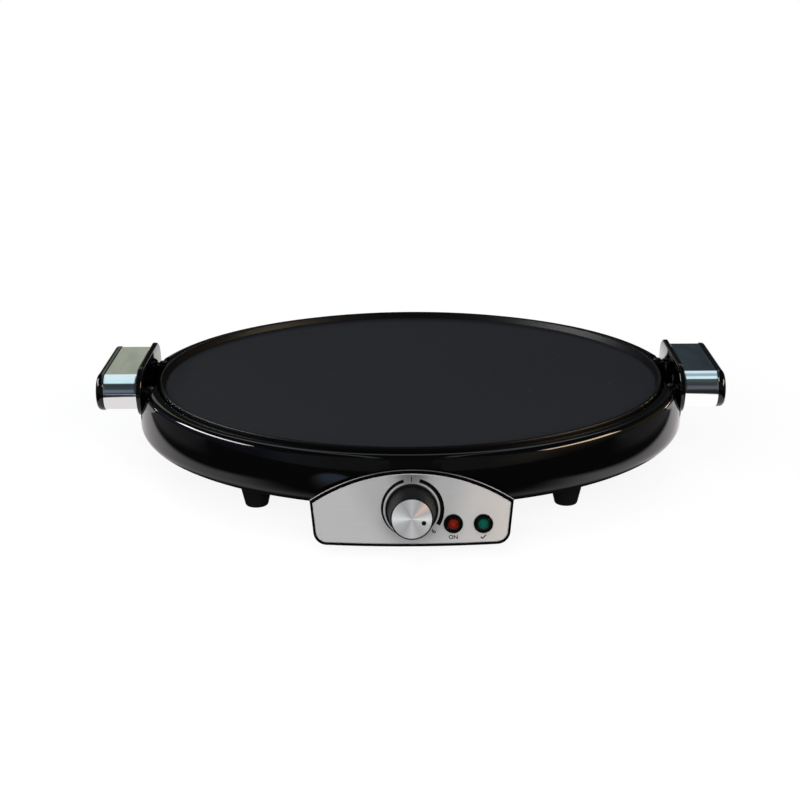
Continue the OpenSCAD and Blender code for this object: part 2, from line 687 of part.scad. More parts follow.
module thermostat_nut() color("#b8babc") on_panel(0, knob_s) translate([0, 0, fascia_z]) difference() {
    cylinder(d = nut_flats / cos(30), h = nut_h, $fn = 6);
    translate([0, 0, -1]) cylinder(d = bush_d + thread_clear, h = nut_h + 2);
}

// Spindle with a flat for the knob; it turns with the knob
spindle_low_z = can_back_z + thermostat_floor + fit;
spindle_short = 4;
spindle_top_z = knob_top_z - spindle_short;
hub_gap = 2;
hub_z = fascia_z + nut_h + bush_proud + hub_gap;
flat_cut = 0.8;
flat_x = spindle_d / 2 - flat_cut;
module thermostat_spindle() color("#c4b98a") on_panel(0, knob_s) difference() {
    translate([0, 0, spindle_low_z]) cylinder(d = spindle_d, h = spindle_top_z - spindle_low_z);
    translate([flat_x, -spindle_d, hub_z]) cube([spindle_d, 2 * spindle_d, far]);
}

// Moulded knob: a flange, a tapered grip, a recess for the cap, a pointer post and a hub with a flatted bore
flange_h = 1.7;
knob_edge = 0.5;
hub_d = 10.4;
knob_wall = 2;
knob_front_wall = 4;
cap_seat_z = knob_top_z - cap_t;
dot_place = [dot_r * cos(dot_angle), dot_r * sin(dot_angle), 0];
hollow_d = knob_front_d - 2 * knob_wall;
module knob_body() color("#2a2b2d") on_panel(0, knob_s) {
    difference() {
        rotate_extrude() polygon(concat([[0, knob_z], [flange_d / 2, knob_z]],
            arc([flange_d / 2 - knob_edge, knob_z + flange_h - knob_edge], knob_edge, 0, 90, 4),
            [[knob_base_d / 2, knob_z + flange_h]],
            arc([knob_front_d / 2 - knob_edge, cap_seat_z], knob_edge, 10, 90, 4),
            [[0, cap_seat_z + knob_edge]]));
        translate([0, 0, cap_seat_z]) cylinder(d = cap_d + fit / 2, h = far);
        difference() {
            translate([0, 0, knob_z - 1])
                cylinder(d = hollow_d, h = 1 + cap_seat_z - knob_front_wall - knob_z);
            translate([0, 0, hub_z]) cylinder(d = hub_d, h = far);
        }
        difference() {
            translate([0, 0, hub_z - 1])
                cylinder(d = spindle_d + 2 * run_fit, h = spindle_top_z + fit - hub_z + 1);
            translate([flat_x + run_fit, -spindle_d, hub_z - 2]) cube([spindle_d, 2 * spindle_d, far]);
        }
    }
    translate(dot_place) translate([0, 0, cap_seat_z - 1]) cylinder(d = dot_d, h = 1 + cap_t);
}

// Spun metal cap in the knob's front, with a hole for the pointer post
module knob_cap() color("#d3d5d7") on_panel(0, knob_s) difference() {
    rotate_extrude() polygon([[0, cap_seat_z], [cap_d / 2, cap_seat_z], [cap_d / 2, knob_top_z - cap_edge],
        [cap_d / 2 - cap_edge, knob_top_z], [0, knob_top_z]]);
    translate(dot_place) translate([0, 0, cap_seat_z - 1]) cylinder(d = dot_d + thread_clear, h = far);
}

// Capillary tube from the thermostat's can, over the shield and under the element, to the sensor bulb
bulb_z = under_z - fit - bulb_d / 2;
run_z = shield_z + shield_t + capillary_d / 2 + fit;
exit_rise = 5;
can_back_y = panel_y + (knob_s + exit_rise) * sin(panel_tilt) - can_back_z * cos(panel_tilt) + fit;
exit_z = panel_z + (knob_s + exit_rise) * cos(panel_tilt) + can_back_z * sin(panel_tilt);
bulb_in = 14;
bulb_y = -element_r + element_d / 2 + rib_t + bulb_in;
capillary_x = 6;
capillary_lead = 4;
capillary_rise_l = 17;
capillary_drop_l = 14;
capillary_n = 6;
function eased(t) = t * t * (3 - 2 * t);
function capillary_bend(y, z, l, h) = [for (i = [0:capillary_n]) let (t = i / capillary_n)
    [capillary_x, y + l * t, z + h * eased(t)]];
capillary_route = concat(
    [[capillary_x, can_back_y, exit_z]],
    capillary_bend(can_back_y + capillary_lead, exit_z, capillary_rise_l, run_z - exit_z),
    capillary_bend(bulb_y - capillary_drop_l, run_z, capillary_drop_l, bulb_z - run_z),
    [[capillary_x, bulb_y + capillary_d, bulb_z]]);
module capillary() color("#b87f52") {
    swept(capillary_route, capillary_d, [1, 0, 0]);
    translate([capillary_x, bulb_y, bulb_z]) rotate([-90, 0, 0]) cylinder(d = bulb_d, h = bulb_l);
}
bulb_clip_w = 14;
bulb_clip_l = 10;
bulb_clip_t = 1.2;
module bulb_clip() color("#8a8d90") translate([capillary_x, bulb_y + bulb_l / 2, 0]) difference() {
    clip_z = bulb_z - bulb_d / 2 - bulb_clip_t;
    translate([-bulb_clip_w / 2, -bulb_clip_l / 2, clip_z])
        cube([bulb_clip_w, bulb_clip_l, under_z - clip_z]);
    translate([0, 0, bulb_z]) rotate([90, 0, 0])
        cylinder(d = bulb_d + thread_clear, h = 2 * bulb_clip_l, center = true);
}

// Indicator lamps: a bezel through the panel, a domed lens in it and a lamp holder pushed on from behind
lamp_bezel_h = 1.4;
lamp_bezel_edge = 0.5;
barrel_l = 3;
lens_dome = 1.1;
holder_wall = 1;
holder_l = 7;
module lamp_bezel(x) color("#0e0e10") on_panel(x, lamp_s) difference() {
    rotate_extrude() polygon(concat(
        [[0, wall_back_z - barrel_l], [lamp_barrel_d / 2, wall_back_z - barrel_l],
        [lamp_barrel_d / 2, fascia_z], [lamp_bezel_d / 2, fascia_z]],
        arc([lamp_bezel_d / 2 - lamp_bezel_edge, fascia_z + lamp_bezel_h - lamp_bezel_edge],
            lamp_bezel_edge, 0, 90, 4),
        [[0, fascia_z + lamp_bezel_h]]));
    cylinder(d = lens_d + thread_clear, h = far, center = true);
}
module lamp_lens(x, c) color(c) on_panel(x, lamp_s) rotate_extrude() {
    dome_r = ((lens_d / 2) ^ 2 + lens_dome ^ 2) / (2 * lens_dome);
    rise = fascia_z + lamp_bezel_h;
    polygon(concat([[0, wall_back_z - barrel_l], [lens_d / 2, wall_back_z - barrel_l]],
        arc([0, rise + lens_dome - dome_r], dome_r, acos(lens_d / 2 / dome_r), 90)));
}
module lamp_holder(x) color("#d9d6cc") on_panel(x, lamp_s) difference() {
    translate([0, 0, wall_back_z - barrel_l - holder_l])
        cylinder(d = lamp_barrel_d + 2 * holder_wall, h = barrel_l + holder_l - fit);
    translate([0, 0, wall_back_z - barrel_l - thread_clear])
        cylinder(d = lamp_barrel_d + thread_clear, h = far);
}

// Terminal block on the cover, with a screw well over each way
block_w = 34;
block_d = 14;
block_h = 12;
block_in = 24;
block_y = floor_r - block_in;
way_pitch = 10;
way_rise = 4;
way_z = cover_top_z + way_rise;
way_well_d = 5;
way_d = 4;
module terminal_block() color("#e4e0d4") difference() {
    translate([-block_w / 2, block_y - block_d / 2, cover_top_z]) cube([block_w, block_d, block_h]);
    for (i = [-1, 0, 1]) translate([i * way_pitch, block_y, way_z]) {
        cylinder(d = way_well_d, h = block_h);
        rotate([90, 0, 0]) cylinder(d = way_d, h = block_d + 1, center = true);
    }
}

// Thermal fuse on a tab under the heat shield
fuse_place = [54, 34, shield_z];
fuse_d = 6;
fuse_l = 22;
fuse_tab = [12, 14, 1];
fuse_sink = 0.6;
module thermal_fuse() color("#d8c9a0") translate(fuse_place) {
    translate([-fuse_tab[0] / 2, -fuse_tab[1] / 2, -fuse_tab[2]]) cube(fuse_tab);
    translate([-fuse_l / 2, 0, fuse_sink - fuse_tab[2] - fuse_d / 2]) rotate([0, 90, 0])
        cylinder(d = fuse_d, h = fuse_l);
}

// Insulated leads on the cover: one to each element pin and one to the thermostat
wire_d = 3.2;
wire_z = cover_top_z + wire_d / 2;
wire_r = 80;
wire_step = 8;
wire_lead = 6;
wire_from_a = 76;
wire_to_a = -70;
wire_n = 12;
wire_start_y = block_y - block_d / 2;
function wire_route(side, x0, r, x1, end_y) = concat(
    [[side * x0, wire_start_y, wire_z], [side * x0, wire_start_y - wire_lead, wire_z]],
    [for (p = arc([0, 0], r, wire_from_a, wire_to_a, wire_n)) [side * p[0], p[1], wire_z]],
    [[side * x1, end_y + wire_lead, wire_z], [side * x1, end_y, wire_z]]);
pin_x = element_r * sin(element_gap);
pin_y = -element_r * cos(element_gap);
thermostat_wire_x = 9;
thermostat_wire_start = 3;
module internal_wires() color("#b34a3c") {
    for (side = [-1, 1])
        swept(wire_route(side, way_pitch, wire_r, pin_x, pin_y), wire_d, [0, 0, 1]);
    swept(wire_route(1, thermostat_wire_start, wire_r - wire_step, thermostat_wire_x, can_back_y + wire_d),
        wire_d, [0, 0, 1]);
}

// Cord gland in the slot of the rear wall, and the clamp that takes the cord's pull
neck_y = shell_r - shell_wall - fit;
neck_l = gland_back_y - gland_lip - neck_y;
gland_edge = 1;
module cord_gland() color("#161618") translate([0, neck_y, gland_z]) rotate([-90, 0, 0]) {
    bore_r = cord_bore_d / 2;
    rotate_extrude() polygon(concat(
        [[bore_r, -gland_in_l], [gland_in_d / 2, -gland_in_l], [gland_in_d / 2, 0], [gland_neck_d / 2, 0],
        [gland_neck_d / 2, neck_l], [gland_d / 2, neck_l]],
        arc([gland_d / 2 - gland_edge, neck_l + gland_lip - gland_edge], gland_edge, 0, 90, 4),
        [[bore_r, neck_l + gland_lip]]));
}
cord_clamp_w = 22;
cord_clamp_l = 10;
cord_clamp_wall = 2;
cord_clamp_out = 2;
cord_clamp_y = floor_r + cord_clamp_out;
module cord_clamp() color("#d9d6cc") difference() {
    translate([-cord_clamp_w / 2, cord_clamp_y, cover_z])
        cube([cord_clamp_w, cord_clamp_l, gland_z - cover_z + cord_bore_d / 2 + cord_clamp_wall]);
    rotate_extrude() polygon([
        [0, 0], [far, 0], [far, cover_seat_z], [cover_rim_r - cover_bend, cover_seat_z],
        [floor_r - cover_bend, cover_top_z], [0, cover_top_z]]);
    translate([0, cord_clamp_y - 1, gland_z]) rotate([-90, 0, 0])
        cylinder(d = cord_bore_d + 2 * pass_clear, h = cord_clamp_l + 2);
}

// Handles. Each piece is modelled on the +X side, along X from the plate's axis
sleeve_x = guard_x + guard_t;
cap_x = sleeve_x + sleeve_w;
guard_edge = 1.2;
guard_low = 0.5;
handle_bolt_d = 4;
handle_bolt_y = 14;
handle_bolt_sink = head_h_ratio * handle_bolt_d;
module along_handle(x) translate([x, 0, handle_z]) rotate([90, 0, 90]) children();
module at_handle_bolts() for (side = [-1, 1]) translate([side * handle_bolt_y, 0, 0]) children();
module on_side(left) mirror([left ? 1 : 0, 0, 0]) children();

// Bracket: a heat guard with two arms that stand in the shell's recess
arm_drop = 1;
arm_top_z = shoulder_z - arm_drop;
arm_join = 1;
module handle_bracket(left) color("#0c0c0e") on_side(left) difference() {
    union() {
        along_handle(guard_x + guard_t) mirror([0, 0, 1]) translate([0, -guard_low, 0])
            pill(guard_l, guard_h, guard_t, guard_edge);
        for (side = [-1, 1]) translate([arm_x, side * arm_y - arm_w / 2, recess_z + eps])
            cube([guard_x - arm_x + arm_join, arm_w, arm_top_z - recess_z]);
    }
    at_bracket_screws() translate([0, 0, recess_z - 1]) cylinder(d = bracket_screw_d + pass_clear, h = far);
    along_handle(guard_x - 1) at_handle_bolts() {
        cylinder(d = handle_bolt_d + pass_clear, h = guard_t + 2);
        cylinder(d = head_d_ratio * handle_bolt_d + 2 * pass_clear, h = 1 + handle_bolt_sink);
    }
}

// Bent chrome sleeve with round ends, open towards the guard and the end cap
module round_ended(l, h) {
    square([l - h, h], center = true);
    for (end = [-1, 1]) translate([end * (l - h) / 2, 0]) circle(d = h);
}
module handle_sleeve(left) color("#d8dadc") on_side(left) along_handle(sleeve_x) linear_extrude(sleeve_w)
    difference() {
        round_ended(sleeve_l, sleeve_h);
        round_ended(sleeve_l - 2 * sleeve_t, sleeve_h - 2 * sleeve_t);
    }

// Moulded core inside the sleeve
module handle_core(left) color("#1b1b1d") on_side(left) along_handle(sleeve_x) difference() {
    linear_extrude(sleeve_w) round_ended(sleeve_l - 2 * sleeve_t - fit, sleeve_h - 2 * sleeve_t - fit);
    at_handle_bolts() translate([0, 0, -1]) cylinder(d = handle_bolt_d + pass_clear, h = sleeve_w + 2);
}

// Moulded end cap with a rounded edge
cap_bolt_l = 2.2;
end_cap_edge = 2.8;
module handle_end_cap(left) color("#0c0c0e") on_side(left) along_handle(cap_x) difference() {
    pill(sleeve_l + 2 * end_cap_lip, sleeve_h + 2 * end_cap_lip, end_cap_t, end_cap_edge);
    at_handle_bolts() translate([0, 0, -1])
        cylinder(d = handle_bolt_d + thread_clear, h = 1 + cap_bolt_l + tip_gap);
}
module handle_bolts(left) color("#a8abad") on_side(left) along_handle(guard_x + handle_bolt_sink)
    at_handle_bolts() screw(handle_bolt_d, guard_t - handle_bolt_sink + sleeve_w + cap_bolt_l);
module bracket_screws(left) color("#a8abad") on_side(left) at_bracket_screws()
    translate([0, 0, arm_top_z + eps]) mirror([0, 0, 1])
        screw(bracket_screw_d, arm_top_z - recess_z + bracket_boss_h - bracket_boss_floor - tip_gap);

placed() cooking_plate();
placed() heating_element();
placed() element_clamps();
placed() clamp_screws();
placed() heat_shield();
placed() upper_spacers();
placed() lower_spacers();
placed() plate_bolts();
placed() base_shell();
placed() bottom_cover();
placed() cover_screws();
placed() foot(-1, -1);  // foot_front_left
placed() foot(1, -1);  // foot_front_right
placed() foot(-1, 1);  // foot_rear_left
placed() foot(1, 1);  // foot_rear_right
placed() foot_screws();
placed() control_housing();
placed() housing_screws();
placed() fascia_plate();
placed() thermostat_body();
placed() thermostat_nut();
placed() thermostat_spindle();
placed() knob_body();
placed() knob_cap();
placed() capillary();
placed() bulb_clip();
placed() lamp_bezel(lamp_places[0]);  // power_lamp_bezel
placed() lamp_lens(lamp_places[0], "#7a1712");  // power_lamp_lens
placed() lamp_holder(lamp_places[0]);  // power_lamp_holder
placed() lamp_bezel(lamp_places[1]);  // ready_lamp_bezel
placed() lamp_lens(lamp_places[1], "#0d5a4a");  // ready_lamp_lens
placed() lamp_holder(lamp_places[1]);  // ready_lamp_holder
placed() terminal_block();
placed() thermal_fuse();
placed() internal_wires();
placed() cord_gland();
placed() cord_clamp();
placed() handle_bracket(true);  // left_handle_bracket
placed() handle_sleeve(true);  // left_handle_sleeve
placed() handle_core(true);  // left_handle_core
placed() handle_end_cap(true);  // left_handle_end_cap
placed() handle_bolts(true);  // left_handle_bolts
placed() bracket_screws(true);  // left_bracket_screws
placed() handle_bracket(false);  // right_handle_bracket
placed() handle_sleeve(false);  // right_handle_sleeve
placed() handle_core(false);  // right_handle_core
placed() handle_end_cap(false);  // right_handle_end_cap
placed() handle_bolts(false);  // right_handle_bolts
placed() bracket_screws(false);  // right_bracket_screws
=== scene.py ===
"""Looks of the pancake maker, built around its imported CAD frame. Sizes are in millimetres, the studio's in
metres."""

import math

import bmesh
import bpy
from mathutils import Matrix, Vector


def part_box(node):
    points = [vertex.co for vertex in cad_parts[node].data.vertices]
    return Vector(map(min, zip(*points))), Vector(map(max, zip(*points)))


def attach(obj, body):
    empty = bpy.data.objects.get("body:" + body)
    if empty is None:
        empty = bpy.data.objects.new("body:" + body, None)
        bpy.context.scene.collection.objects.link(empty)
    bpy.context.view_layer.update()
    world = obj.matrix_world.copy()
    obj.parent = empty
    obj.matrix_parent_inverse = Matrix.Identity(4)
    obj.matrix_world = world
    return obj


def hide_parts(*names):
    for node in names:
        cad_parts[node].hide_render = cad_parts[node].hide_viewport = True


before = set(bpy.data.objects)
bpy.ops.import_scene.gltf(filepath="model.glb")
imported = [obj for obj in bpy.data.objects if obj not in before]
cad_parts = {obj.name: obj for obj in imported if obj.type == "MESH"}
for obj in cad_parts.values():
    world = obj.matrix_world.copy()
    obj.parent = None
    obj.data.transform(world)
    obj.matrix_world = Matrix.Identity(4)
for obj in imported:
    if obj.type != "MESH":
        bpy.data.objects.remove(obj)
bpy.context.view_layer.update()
scene = bpy.context.scene
scene.view_settings.view_transform = "Standard"

# Camera: fitted to the ellipses of the rim and of the base's outline in the photo. It stands about a metre
# off with a 75 mm lens, 16.5 degrees above the counter, with a trace of roll.
MM = 0.001
axis_y = sum(corner.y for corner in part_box("cooking_plate")) / 2 / MM
yaw, elevation, roll = (math.radians(a) for a in (0.254, 16.54, -0.421))
target, distance = Vector((-6.33, axis_y - 0.05, 34.99)) * MM, 1008.9 * MM
back = Vector(
    (math.sin(yaw) * math.cos(elevation), -math.cos(yaw) * math.cos(elevation), math.sin(elevation))
)
right = Vector((math.cos(yaw), math.sin(yaw), 0))
side = right * math.cos(roll) + back.cross(right) * math.sin(roll)
camera = bpy.data.objects.new("camera", bpy.data.cameras.new("camera"))
camera.data.lens, camera.data.sensor_width = 74.93, 36
turned = Matrix((side, back.cross(side), back)).transposed().to_4x4()
camera.matrix_world = Matrix.Translation(target + back * distance) @ turned
scene.collection.objects.link(camera)
scene.camera = camera


# Studio: a white paper sweep, an unlit room on the camera's side, softboxes that hang behind and over each
# handle, and a tall strip lamp on either side. Polished pieces show all of these; the camera itself sees
# plain white.
def node(tree, kind, inputs=(), stops=(), **settings):
    """Adds a shader node with its settings, a ramp's (position, grey or colour) stops, and its values or
    links."""
    made = tree.nodes.new("ShaderNode" + kind)
    for key, value in settings.items():
        setattr(made, key, value)
    for key, value in dict(inputs).items():
        if isinstance(value, bpy.types.NodeSocket):
            tree.links.new(value, made.inputs[key])
        else:
            made.inputs[key].default_value = value
    if stops:
        elements = made.color_ramp.elements
        while len(elements) < len(stops):
            elements.new(0.5)
        for element, (position, level) in zip(elements, stops):
            element.position = position
            element.color = (level, level, level, 1) if isinstance(level, (int, float)) else (*level, 1)
    return made


world = bpy.data.worlds.new("studio")
scene.world = world
world.use_nodes = True
tree = world.node_tree
tree.nodes.clear()
# A direction's turn from the front, over the top, to the back, as a share of half a turn, and its lean to the
# side
direction = node(tree, "TexCoord").outputs["Generated"]
way = node(tree, "SeparateXYZ", {"Vector": direction})
front = node(tree, "Math", {0: way.outputs["Y"], 1: -1.0}, operation="MULTIPLY")
rise = node(tree, "Math", {0: way.outputs["Z"], 1: front.outputs[0]}, operation="ARCTAN2")
turn = node(tree, "Math", {0: rise.outputs[0], 1: math.pi}, operation="DIVIDE").outputs[0]
aside = node(tree, "Math", {0: way.outputs["X"]}, operation="ABSOLUTE").outputs[0]
hand = node(tree, "MapRange", {0: way.outputs["X"], 1: -0.02, 2: 0.02}).outputs[0]
# The room over the middle, and the softboxes, which only the sleeves of the handles mirror
middle_stops = [(0, 0.05), (0.2, 0.03), (0.76, 0.02), (0.8, 0.3), (0.87, 0.4), (0.895, 0.02), (1, 0.02)]
left_stops = [
    (0, (0.07, 0.08, 0.09)), (0.06, (0.14, 0.17, 0.21)), (0.11, (0.14, 0.17, 0.21)),
    (0.15, (0.045, 0.06, 0.07)),
    (0.34, (0.036, 0.042, 0.055)), (0.39, (0.72, 0.97, 1.05)), (0.83, (0.82, 1, 1.05)),
    (0.865, (0.39, 0.42, 0.34)),
    (1, (0.36, 0.39, 0.31)),
]
right_stops = [
    (0, (0.02, 0.03, 0.04)), (0.07, (0.12, 0.13, 0.15)), (0.13, (0.1, 0.11, 0.13)),
    (0.2, (0.036, 0.044, 0.05)),
    (0.4, (0.08, 0.1, 0.11)), (0.425, (0.75, 1, 1.05)), (0.51, (0.75, 1, 1.05)), (0.545, (0.36, 0.46, 0.54)),
    (0.66, (0.4, 0.5, 0.6)), (0.69, (0.72, 0.92, 1)), (0.84, (0.72, 0.92, 1)), (0.87, (0.034, 0.046, 0.053)),
    (1, (0.03, 0.042, 0.048)),
]
middle, left_box, right_box = (
    node(tree, "ValToRGB", {0: turn}, stops).outputs[0] for stops in (middle_stops, left_stops, right_stops)
)
boxes = node(tree, "Mix", {0: hand, 6: left_box, 7: right_box}, data_type="RGBA").outputs[2]
uneven = node(tree, "TexNoise", {"Vector": direction, "Scale": 70, "Detail": 2}).outputs["Fac"]
uneven = node(tree, "MapRange", {0: uneven, 1: 0.3, 2: 0.7, 3: 0.72, 4: 1.12}, clamp=True).outputs[0]
boxes = node(tree, "Mix", {0: 1.0, 6: boxes, 7: uneven}, data_type="RGBA", blend_type="MULTIPLY").outputs[2]
off_middle = node(tree, "MapRange", {0: aside, 1: 0.146, 2: 0.15}).outputs[0]
room = node(tree, "Mix", {0: off_middle, 6: middle, 7: boxes}, data_type="RGBA").outputs[2]
# The walls to the sides, cool on the left and warm on the right, and a dim light from behind the camera
cool_stops = [(0, (0.05, 0.06, 0.09)), (0.4, (0.1, 0.12, 0.2)), (0.5, 0.03)]
warm_stops = [(0, (0.06, 0.05, 0.04)), (0.08, (0.2, 0.16, 0.09)), (0.4, (0.14, 0.11, 0.07)), (0.5, 0.03)]
cool, warm = (
    node(tree, "ValToRGB", {0: way.outputs["Z"]}, stops).outputs[0] for stops in (cool_stops, warm_stops)
)
flanks = node(tree, "Mix", {0: hand, 6: cool, 7: warm}, data_type="RGBA").outputs[2]
square_on = node(tree, "MapRange", {0: aside, 1: 0.5, 2: 0.78}).outputs[0]
flanks = node(tree, "Mix", {0: square_on, 6: (0.02, 0.02, 0.022, 1), 7: flanks}, data_type="RGBA").outputs[2]
behind = node(tree, "MapRange", {0: way.outputs["Y"], 1: -0.45, 2: -0.65, 3: 0.0, 4: 0.1}).outputs[0]
flanks = node(tree, "Mix", {0: 1.0, 6: flanks, 7: behind}, data_type="RGBA", blend_type="ADD").outputs[2]
off_boxes = node(tree, "MapRange", {0: aside, 1: 0.2, 2: 0.22}).outputs[0]
room = node(tree, "Mix", {0: off_boxes, 6: room, 7: flanks}, data_type="RGBA").outputs[2]
lit = node(tree, "Background", {"Color": room, "Strength": 1})
white = node(tree, "Background", {"Color": (1, 1, 1, 1), "Strength": 1})
path = node(tree, "LightPath")
seen = node(tree, "MixShader", {0: path.outputs["Is Camera Ray"], 1: lit.outputs[0], 2: white.outputs[0]})
node(tree, "OutputWorld", {"Surface": seen.outputs[0]})

bm = bmesh.new()
bmesh.ops.create_grid(bm, x_segments=1, y_segments=1, size=3)
mesh = bpy.data.meshes.new("floor")
bm.to_mesh(mesh)
floor = bpy.data.objects.new("floor", mesh)
scene.collection.objects.link(floor)
# Matt white paper: the camera sees a plain white that keeps a soft shadow under the object
sweep = bpy.data.materials.new("white paper sweep")
sweep.use_nodes = True
tree = sweep.node_tree
tree.nodes.clear()
place = node(tree, "TexCoord").outputs["Object"]
path = node(tree, "LightPath")
direct = path.outputs["Is Camera Ray"]
for kind in ("Is Glossy Ray", "Is Transmission Ray"):
    direct = node(
        tree, "Math", {0: direct, 1: path.outputs[kind]}, operation="ADD", use_clamp=True
    ).outputs[0]
reach = node(tree, "VectorMath", {0: place}, operation="LENGTH").outputs["Value"]
level = node(tree, "MapRange", {0: reach, 1: 0.25, 2: 0.6, 3: 0.895, 4: 1.0})
glow = node(tree, "Math", {0: direct, 1: level.outputs[0]}, operation="MULTIPLY")
paper = node(tree, "BsdfDiffuse", {"Color": (0.22, 0.22, 0.22, 1)})
plain = node(tree, "Emission", {"Color": (1, 1, 1, 1), "Strength": glow.outputs[0]})
both = node(tree, "AddShader", {0: paper.outputs[0], 1: plain.outputs[0]})
# What polished pieces mirror: a lit sheet that ends in three soft edges, with a painted shadow under the base
spot = node(tree, "SeparateXYZ", {"Vector": place})
sheet_stops = [(0, 0.78), (0.667, 0.78), (0.775, 1.12), (0.817, 1.12), (0.875, 0.86), (1, 0.86)]
sheet = node(tree, "MapRange", {0: spot.outputs["X"], 1: -0.3, 2: 0.3}).outputs[0]
sheet = node(tree, "ValToRGB", {0: sheet}, sheet_stops).outputs[0]
soft = {"interpolation_type": "SMOOTHSTEP"}
for aim, out, near in (
    ((-1, -0.45, 0), 0.274, 0.247), ((1, -0.45, 0), 0.267, 0.241), ((0, -1, 0), 0.205, 0.125)
):
    share = node(tree, "VectorMath", {0: place, 1: aim}, operation="DOT_PRODUCT").outputs["Value"]
    share = node(tree, "MapRange", {0: share, 1: out, 2: near}, **soft).outputs[0]
    sheet = node(tree, "Math", {0: sheet, 1: share}, operation="MULTIPLY").outputs[0]
# Painted shadow: the mirrored sheet goes dark under the base, except out at the sides
mirrored_under_shadow = node(tree, "MapRange", {0: reach, 1: 0.152, 2: 0.176}, **soft).outputs[0]
across = node(tree, "Math", {0: spot.outputs["X"]}, operation="ABSOLUTE").outputs[0]
wide = node(tree, "MapRange", {0: across, 1: 0.146, 2: 0.158}, **soft).outputs[0]
mirrored_under_shadow = node(tree, "Math", {0: mirrored_under_shadow, 1: wide}, operation="MAXIMUM").outputs[0]
sheet = node(tree, "Math", {0: sheet, 1: mirrored_under_shadow}, operation="MULTIPLY").outputs[0]
# Painted light in the mirrored sheet: a faint light far out beside the object, and a bluish slanting patch on
# the left that the shell mirrors as a glint
far_out = node(tree, "MapRange", {0: across, 1: 0.27, 2: 0.38, 4: 0.12}, **soft).outputs[0]
abreast = node(tree, "MapRange", {0: spot.outputs["Y"], 1: -0.14, 2: 0.0}, **soft).outputs[0]
far_out = node(tree, "Math", {0: far_out, 1: abreast, 2: 0.02}, operation="MULTIPLY_ADD").outputs[0]
sheet = node(tree, "Math", {0: sheet, 1: far_out}, operation="ADD").outputs[0]
patch = {"Location": (-0.204, -0.42, 0), "Rotation": (0, 0, math.radians(-31)), "Scale": (0.06, 0.26, 1)}
patch = node(tree, "Mapping", {"Vector": place, **patch}, vector_type="TEXTURE").outputs[0]
glint = node(tree, "VectorMath", {0: patch}, operation="LENGTH").outputs["Value"]
glint = node(tree, "MapRange", {0: glint, 1: 1.0, 2: 0.25}, **soft).outputs[0]
hue = node(
    tree, "Mix", {0: glint, 6: (1, 0.96, 0.965, 1), 7: (0.45, 0.65, 1, 1)}, data_type="RGBA"
).outputs[2]
sheet = node(tree, "Math", {0: glint, 1: 0.8, 2: sheet}, operation="MULTIPLY_ADD").outputs[0]
mirrored = node(tree, "Emission", {"Color": hue, "Strength": sheet})
whole = node(
    tree, "MixShader", {0: path.outputs["Is Glossy Ray"], 1: both.outputs[0], 2: mirrored.outputs[0]}
)
below = node(tree, "NewGeometry").outputs["Backfacing"]
whole = node(tree, "MixShader", {0: below, 1: whole.outputs[0], 2: node(tree, "BsdfTransparent").outputs[0]})
node(tree, "OutputMaterial", {"Surface": whole.outputs[0]})
mesh.materials.append(sweep)


def lamp(name, place, aim, width, height, power, colour):
    """A rectangular softbox that the camera doesn't see."""
    light = bpy.data.lights.new(name, "AREA")
    light.shape, light.size, light.size_y = "RECTANGLE", width, height
    light.energy, light.color = power, colour
    made = bpy.data.objects.new(name, light)
    facing = (Vector(aim) - Vector(place)).to_track_quat("-Z", "Y").to_matrix().to_4x4()
    made.matrix_world = Matrix.Translation(place) @ facing
    made.visible_camera = False
    scene.collection.objects.link(made)
    return made


left_strip = lamp("left strip", (-0.95, 0.09, 0.62), (0, 0.09, 0.2), 0.84, 0.18, 8.5, (1, 0.98, 0.97))
right_strip = lamp("right strip", (0.95, -0.32, 0.5), (0, -0.32, 0.15), 0.74, 0.24, 8, (1, 0.78, 0.55))
left_strip.visible_diffuse = right_strip.visible_diffuse = False
lamp("overhead", (-0.3, -0.42, 1.1), (-0.05, -0.1, 0), 1.2, 0.9, 3.4, (1, 1, 1)).visible_glossy = False
lamp("front fill", (0, -1.6, 0.7), (0, 0, 0.03), 1.6, 0.8, 20, (1, 1, 1)).visible_glossy = False


# Cooking plate: cast aluminium with a sprayed non-stick coating, matte on the flat and a little glossier
# over the rounded rim, whose colour is darkened to near black there as painted shade. Two ribs below hold the
# element between them, and four bolts pull the plate down.
def linear(code):
    """Linear colour of an sRGB hex code."""
    parts = [int(code[i : i + 2], 16) / 255 for i in (1, 3, 5)]
    return (*(p / 12.92 if p <= 0.04045 else ((p + 0.055) / 1.055) ** 2.4 for p in parts), 1)


def blank(name):
    """A new material, its empty tree and its object coordinates."""
    made = bpy.data.materials.new(name)
    made.use_nodes = True
    made.node_tree.nodes.clear()
    return made, made.node_tree, node(made.node_tree, "TexCoord").outputs["Object"]


def per_metre(size):
    """A pattern's scale from the size of its grain."""
    return 1 / (size * MM)


def arc(x, y, r, start, end, n):
    """Points of an arc in the plane, with angles in degrees."""
    angles = [math.radians(start + (end - start) * i / n) for i in range(n + 1)]
    return [(x + r * math.cos(a), y + r * math.sin(a)) for a in angles]


def spun(profile, steps, place=Matrix(), closed=False):
    """A mesh turned about Z from (radius, height) points, then put in place."""
    made = bmesh.new()
    verts = [made.verts.new((r * MM, 0, z * MM)) for r, z in profile]
    pairs = list(zip(verts, verts[1:])) + ([(verts[-1], verts[0])] if closed else [])
    geom = verts + [made.edges.new(pair) for pair in pairs]
    bmesh.ops.spin(
        made, geom=geom, cent=(0, 0, 0), axis=(0, 0, 1), angle=math.tau, steps=steps, use_merge=True
    )
    bmesh.ops.remove_doubles(made, verts=made.verts, dist=1e-6)
    bmesh.ops.recalc_face_normals(made, faces=made.faces)
    bmesh.ops.transform(made, matrix=place, verts=made.verts)
    return made


